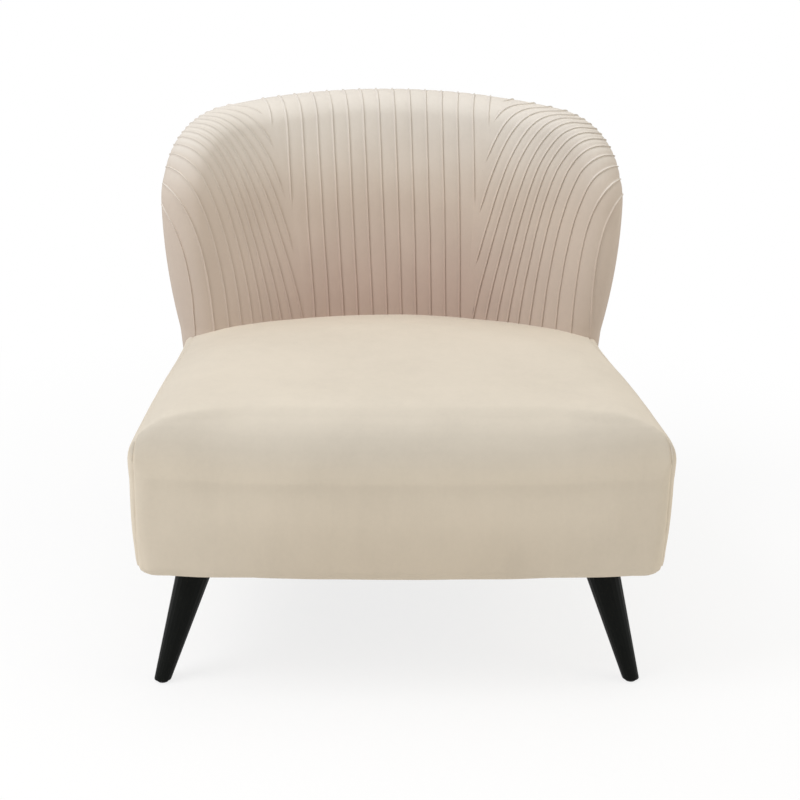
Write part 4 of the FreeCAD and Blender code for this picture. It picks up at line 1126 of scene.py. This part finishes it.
class CHAIR_OT_seat(bpy.types.Operator):
    """Seat block: one cover swelled by its padding, with a sewn seam down each side"""

    bl_idname = "chair.seat"
    bl_label = "Seat"

    AROUND = 320
    LOWER_RINGS = 14
    UPPER_RINGS = 26
    SLACK_LOW = 0.04  # from the bottom to where the cover starts with its full inset
    SLACK_HIGH = 0.05  # from the belly to where it starts with none
    SLACK_TOP = (0.04, 0.12)  # insets between which the top comes to start lower by as much
    FRAMES = 20
    CLOTH = {
        "quality": 5,
        "mass": 0.3,
        "tension_stiffness": 18,
        "compression_stiffness": 18,
        "shear_stiffness": 8,
        "bending_stiffness": 3,
        "use_pressure": True,
        "uniform_pressure_force": 4.0,
    }
    HELD_LOW = 0.006  # above the bottom
    HELD_BACK = 0.012  # ahead of the back's face
    EVENING = 24  # rounds
    PADDING = ((7.0, 0.0011), (19.0, 0.0004))  # scale and size of its unevenness
    SEWN_FROM = 0.004  # above the bottom
    PUCKER = 0.35
    PUCKERS = 70
    GROOVE_END = 0.012
    GROOVE = ((0.0, -0.0018), (0.0008, -0.0012), (0.002, -0.0002), (0.004, 0.0003), (0.007, 0.0001))

    def blank(self, form):
        """Closed block of stacked outlines, a little smaller than the cover."""
        seat = form.seat
        drawn = seat.start_inset
        heights = np.linspace(seat.bottom, seat.belly, self.LOWER_RINGS)[:-1]
        stations = [(height, form.lower_inset(height)) for height in heights]
        for part in np.linspace(0.0, math.pi / 2, self.UPPER_RINGS):
            inset = seat.crown_inset * (1 - math.cos(part) ** (2 / seat.crown_power))
            stations.append((form.crown_height(inset), inset))
        rings = []
        for height, inset in stations:
            slack = smoothstep(height, seat.bottom, seat.bottom + self.SLACK_LOW)
            slack -= smoothstep(height, seat.belly, seat.belly + self.SLACK_HIGH)
            ring = form.outline(inset + drawn * slack, self.AROUND)
            lowered = drawn * smoothstep(inset, *self.SLACK_TOP)
            lowered += form.rear_dip(ring) * smoothstep(height, seat.belly, seat.crown)
            level = height - lowered
            if height > seat.belly:
                level = np.minimum(level, form.front_roll(ring))
            rings.append(np.column_stack([ring, level]))
        index = np.arange(len(rings) * self.AROUND).reshape(-1, self.AROUND)
        faces = quads(np.column_stack([index, index[:, 0]]))
        faces += [index[0, ::-1].tolist(), index[-1].tolist()]
        return meshed("seat_blank", np.concatenate(rings), faces)

    def remeshed(self, mesh, voxel):
        """Even quads over a closed mesh."""
        holder = placed("seat_holder", mesh)
        change = holder.modifiers.new("even", "REMESH")
        change.mode = "VOXEL"
        change.voxel_size = voxel
        return self.applied(holder)

    def applied(self, holder):
        """The evaluated mesh of an object, which is then removed."""
        graph = bpy.context.evaluated_depsgraph_get()
        mesh = bpy.data.meshes.new_from_object(holder.evaluated_get(graph))
        bpy.data.objects.remove(holder)
        return mesh

    def vectors(self, mesh, kind):
        """Places ("co") or normals of a mesh's vertices as an array."""
        flat = np.empty(len(mesh.vertices) * 3, np.float32)
        mesh.vertices.foreach_get(kind, flat)
        return flat.reshape(-1, 3).astype(float)

    def raised(self, mesh, start, outward, push):
        """Set a mesh's vertices to places pushed outward."""
        mesh.vertices.foreach_set("co", (start + outward * push[:, None]).astype(np.float32).ravel())
        return mesh

    def evened(self, mesh, values):
        """Values at the vertices, averaged with their neighbours over and over."""
        ends = np.empty(len(mesh.edges) * 2, np.int32)
        mesh.edges.foreach_get("vertices", ends)
        pairs = ends.reshape(-1, 2)
        here, there = np.concatenate([pairs, pairs[:, ::-1]]).T
        count = np.maximum(np.bincount(here, minlength=len(values)), 1)
        for _ in range(self.EVENING):
            around = np.bincount(here, weights=values[there], minlength=len(values)) / count
            values = (values + around) / 2
        return values

    def swelled(self, mesh, form):
        """The cover after its padding has pressed it out, with no point moved further than the swell."""
        scene = bpy.context.scene
        seat = form.seat
        start = self.vectors(mesh, "co")
        outward = self.vectors(mesh, "normal")
        holder = placed("seat_cloth", mesh)
        held = holder.vertex_groups.new(name="held")
        from_axis = np.hypot(start[:, 0], start[:, 1] - form.axis_y)
        under_back = (from_axis > form.face_radius - self.HELD_BACK) & (start[:, 2] > seat.belly)
        fixed = (start[:, 2] < seat.bottom + self.HELD_LOW) | under_back
        held.add(np.nonzero(fixed)[0].tolist(), 1.0, "REPLACE")
        cloth = holder.modifiers.new("cover", "CLOTH")
        for key, value in self.CLOTH.items():
            setattr(cloth.settings, key, value)
        cloth.settings.vertex_group_mass = held.name
        cloth.settings.effector_weights.gravity = 0
        cloth.point_cache.frame_start = 1
        cloth.point_cache.frame_end = self.FRAMES
        for step in range(1, self.FRAMES + 1):
            scene.frame_set(step)
        result = self.applied(holder)
        scene.frame_set(1)
        push = np.maximum(((self.vectors(result, "co") - start) * outward).sum(axis=1), 0.0)
        push = self.evened(result, seat.swell * np.tanh(push / seat.swell))
        return self.raised(result, start, outward, push)

    def sewn(self, mesh, form):
        """Cut the side seams into the cover and pull them in."""
        shape = bmesh.new()
        shape.from_mesh(mesh)
        seat = form.seat
        front, rear = -seat.front, seat.front
        lines = []
        for way in (-1, 1):
            a = Vector((way * form.seam_x(front), front, 0.0))
            b = Vector((way * form.seam_x(rear), rear, 0.0))
            normal = (b - a).cross(Vector((0, 0, 1))).normalized() * way
            lines.append((a, normal))
            for offset in sorted({side * place for place, _ in self.GROOVE for side in (-1, 1)}):
                geometry = shape.verts[:] + shape.edges[:] + shape.faces[:]
                bmesh.ops.bisect_plane(shape, geom=geometry, dist=1e-6, plane_co=a + normal * offset,
                                       plane_no=normal)
        shape.normal_update()
        places = [place for place, _ in self.GROOVE] + [self.GROOVE_END]
        depths = [depth for _, depth in self.GROOVE] + [0.0]
        moves = []
        for vert in shape.verts:
            if vert.co.z < seat.bottom + self.SEWN_FROM:
                continue
            for a, normal in lines:
                gap = (vert.co - a).dot(normal)
                if abs(gap) < places[-1]:
                    depth = float(np.interp(abs(gap), places, depths))
                    spot = Vector((vert.co.y * self.PUCKERS, vert.co.z * self.PUCKERS, 2.0))
                    pucker = 1 + self.PUCKER * noise.noise(spot)
                    moves.append((vert, vert.normal * depth * pucker))
        for vert, move in moves:
            vert.co += move
        shape.to_mesh(mesh)
        shape.free()
        return mesh

    def softened(self, mesh):
        """Low, broad unevenness of hand-fitted padding."""
        points = self.vectors(mesh, "co")
        push = np.array([sum(noise.noise(Vector(point) * scale) * size for scale, size in self.PADDING)
                         for point in points])
        return self.raised(mesh, points, self.vectors(mesh, "normal"), push)

    def execute(self, context):
        seat = context.scene.chair_seat
        _, form, _ = forms()
        mesh = self.remeshed(self.blank(form), seat.voxel)
        mesh = self.swelled(mesh, form)
        mesh = self.sewn(self.softened(mesh), form)
        covers = ["seat_top_cover", "seat_rear_cover", "seat_left_side_cover", "seat_right_side_cover"]
        padding = ["seat_foam", "front_rail_pad", "left_rail_pad", "right_rail_pad", "rear_rail_pad"]
        settle(placed("seat_block", mesh), seat_finish(), covers + padding)
        return {"FINISHED"}


class CHAIR_OT_dust_cover(bpy.types.Operator):
    """Dust cloth stretched under the frame"""

    bl_idname = "chair.dust_cover"
    bl_label = "Dust Cover"

    AROUND = 120
    RINGS = 16
    SAG = 0.0025
    RIPPLE = 0.0006
    RIPPLES = 16
    INSET = 0.024
    BELOW = 0.0004

    def execute(self, context):
        _, form, _ = forms()
        low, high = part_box("dust_cover")
        edge = form.outline(self.INSET, self.AROUND)
        middle = np.array((0.0, (low.y + high.y) / 2))
        level = high.z - self.BELOW
        points = [np.array([[*middle, level - self.SAG]])]
        for share in np.linspace(0.0, 1.0, self.RINGS)[1:]:
            ring = middle + (edge - middle) * share
            ripple = np.array([noise.noise(Vector((x, y, 3.0))) for x, y in ring * self.RIPPLES])
            drop = self.SAG * (1 - share ** 2) + self.RIPPLE * ripple * (1 - share)
            points.append(np.column_stack([ring, level - drop]))
        index = 1 + np.arange((self.RINGS - 1) * self.AROUND).reshape(-1, self.AROUND)
        index = np.column_stack([index, index[:, 0]])
        faces = [(0, after, here) for here, after in zip(index[0].tolist(), index[0, 1:].tolist())]
        faces += quads(index)
        cloth = woven("dust_cloth", context.scene.chair_colours.dust_cloth, 0.0012)
        piece = new_piece("underside_cloth", np.concatenate(points), faces, cloth,
                          ["dust_cover"])
        return {"FINISHED"}


class CHAIR_OT_legs(bpy.types.Operator):
    """Black lacquer on the legs and plastic on their glides"""

    bl_idname = "chair.legs"
    bl_label = "Legs"

    def execute(self, context):
        colours = context.scene.chair_colours
        legs = [f"leg_{row}_{side}" for row in ("front", "rear") for side in ("left", "right")]
        paint(legs, lacquer("leg_lacquer", colours.leg_black))
        paint(["foot_glides"], moulded("glide_plastic", colours.glide))
        return {"FINISHED"}


class CHAIR_OT_frame(bpy.types.Operator):
    """Timber, plywood, webbing and steel inside the upholstery"""

    bl_idname = "chair.frame"
    bl_label = "Frame"

    def execute(self, context):
        colours = context.scene.chair_colours
        paint(["front_rail", "rear_rail"], timber("rail_timber_across", colours.wood, 0))
        paint(["left_rail", "right_rail", "centre_stretcher", "corner_blocks"],
              timber("rail_timber_lengthwise", colours.wood, 1))
        paint(["back_post_left", "back_post_right", "post_wedges"], timber("post_timber", colours.wood, 2))
        paint(["back_shell"], timber("shell_plywood", colours.ply, 0))
        paint(["seat_webbing_lengthwise", "seat_webbing_crosswise"],
              woven("strap_weave", colours.webbing, 0.003))
        paint(["leg_hanger_bolts", "leg_tee_nuts", "post_bolts", "post_bolt_nuts"],
              plated("zinc_steel", colours.steel))
        return {"FINISHED"}


class CHAIR_OT_stage(bpy.types.Operator):
    """Pale floor, soft light and the camera"""

    bl_idname = "chair.stage"
    bl_label = "Stage"

    FLOOR_REACH = 9.0
    CLEAR_NEAR = 0.8  # how much of the shadow is hidden near the chair
    CLEAR_RISE = (0.4, 1.5)  # way from the middle of the floor to where all of it is
    AIM = (0.0, 0.0, 0.4)
    LAMPS = (
        ("key", (-2.2, -1.25, 2.9), 1.8, WHITE),
        ("fill", (2.4, -0.6, 1.9), 2.0, (1.0, 0.92, 0.76)),
        ("top", (0.0, 0.1, 3.0), 2.4, WHITE),
    )

    def floor(self, context):
        """Floor that reads as white to the camera and keeps the chair's shadow."""
        corners = np.array(((-1, -1, 0), (1, -1, 0), (1, 1, 0), (-1, 1, 0))) * self.FLOOR_REACH
        mesh = meshed("studio_floor", corners, [(0, 1, 2, 3)])
        item = placed("studio_floor", mesh)
        material = bpy.data.materials.new("floor_paint")
        nodes = Nodes(material)
        paint_tone = nodes.node("ShaderNodeBsdfDiffuse", None,
                                {"Color": shade(context.scene.chair_colours.floor, 1.0)})
        away = nodes.node("ShaderNodeVectorMath", {"operation": "LENGTH"},
                          {0: nodes.node("ShaderNodeTexCoord", output=3)}, 1)
        clear = self.CLEAR_NEAR + nodes.step(away, *self.CLEAR_RISE) * (1 - self.CLEAR_NEAR)
        glow = nodes.node("ShaderNodeEmission", None, {"Color": shade(WHITE, 1.0), "Strength": 1.0})
        hidden = nodes.background() * clear
        surface = nodes.node("ShaderNodeMixShader", None, {0: hidden, 1: paint_tone, 2: glow})
        nodes.node("ShaderNodeOutputMaterial", None, {"Surface": surface})
        mesh.materials.append(material)

    def sky(self, context):
        """Even light all round, seen as white."""
        world = bpy.data.worlds.new("studio")
        context.scene.world = world
        nodes = Nodes(world)
        level = context.scene.chair_stage.sky
        strength = level + nodes.background() * (1.0 - level)
        light = nodes.node("ShaderNodeBackground", None, {"Color": shade(WHITE, 1.0), "Strength": strength})
        nodes.node("ShaderNodeOutputWorld", None, {"Surface": light})

    def lamp(self, name, place, width, power, tint):
        """Soft square lamp aimed at the chair."""
        data = bpy.data.lights.new(name, "AREA")
        data.size = width
        data.color = tint
        data.energy = power
        item = placed(name, data)
        item.location = place
        item.rotation_mode = "QUATERNION"
        item.rotation_quaternion = (Vector(self.AIM) - Vector(place)).to_track_quat("-Z", "Y")

    def camera(self, context):
        """Camera at the photograph's place."""
        stage = context.scene.chair_stage
        data = bpy.data.cameras.new("view")
        data.lens = stage.lens
        item = placed("view", data)
        flat = math.cos(stage.dip)
        ahead = Vector((math.sin(stage.azimuth) * flat, math.cos(stage.azimuth) * flat, -math.sin(stage.dip)))
        level = Vector((math.cos(stage.azimuth), -math.sin(stage.azimuth), 0))
        upright = level.cross(ahead)
        right = level * math.cos(stage.roll) + upright * math.sin(stage.roll)
        above = upright * math.cos(stage.roll) - level * math.sin(stage.roll)
        turn = Matrix((right, above, -ahead)).transposed().to_4x4()
        item.matrix_world = Matrix.Translation(Vector(stage.eye)) @ turn
        context.scene.camera = item

    def execute(self, context):
        stage = context.scene.chair_stage
        self.floor(context)
        self.sky(context)
        for name, place, width, tint in self.LAMPS:
            self.lamp(f"{name}_lamp", place, width, getattr(stage, name), tint)
        self.camera(context)
        context.scene.view_settings.view_transform = "Standard"
        return {"FINISHED"}


OPERATORS = (
    CHAIR_OT_seat,
    CHAIR_OT_centre_panel,
    CHAIR_OT_wings,
    CHAIR_OT_outside_back,
    CHAIR_OT_dust_cover,
    CHAIR_OT_legs,
    CHAIR_OT_frame,
    CHAIR_OT_stage,
)
GROUPS = {
    "chair_seat": ChairSeat,
    "chair_back": ChairBack,
    "chair_tucks": ChairTucks,
    "chair_colours": ChairColours,
    "chair_stage": ChairStage,
}


class CHAIR_PT_sidebar(bpy.types.Panel):
    """The chair's pieces and settings"""

    bl_idname = "CHAIR_PT_sidebar"
    bl_label = "Lounge Chair"
    bl_space_type = "VIEW_3D"
    bl_region_type = "UI"
    bl_category = "Chair"

    def draw(self, context):
        for operator in OPERATORS:
            self.layout.operator(operator.bl_idname)
        for name, group in GROUPS.items():
            box = self.layout.box()
            box.label(text=group.__doc__)
            for setting in group.__annotations__:
                box.prop(getattr(context.scene, name), setting)


def register():
    """Register the classes and hang the settings on the scene."""
    for group in GROUPS.values():
        bpy.utils.register_class(group)
    for name, group in GROUPS.items():
        setattr(bpy.types.Scene, name, PointerProperty(type=group))
    for item in (*OPERATORS, CHAIR_PT_sidebar):
        bpy.utils.register_class(item)


def unregister():
    """Take the classes and the settings away."""
    for item in (CHAIR_PT_sidebar, *reversed(OPERATORS)):
        bpy.utils.unregister_class(item)
    for name in GROUPS:
        delattr(bpy.types.Scene, name)
    for group in reversed(GROUPS.values()):
        bpy.utils.unregister_class(group)


def main():
    """Register the classes and build every piece."""
    register()
    for operator in OPERATORS:
        area, name = operator.bl_idname.split(".")
        getattr(getattr(bpy.ops, area), name)()


if __name__ == "__main__":
    main()
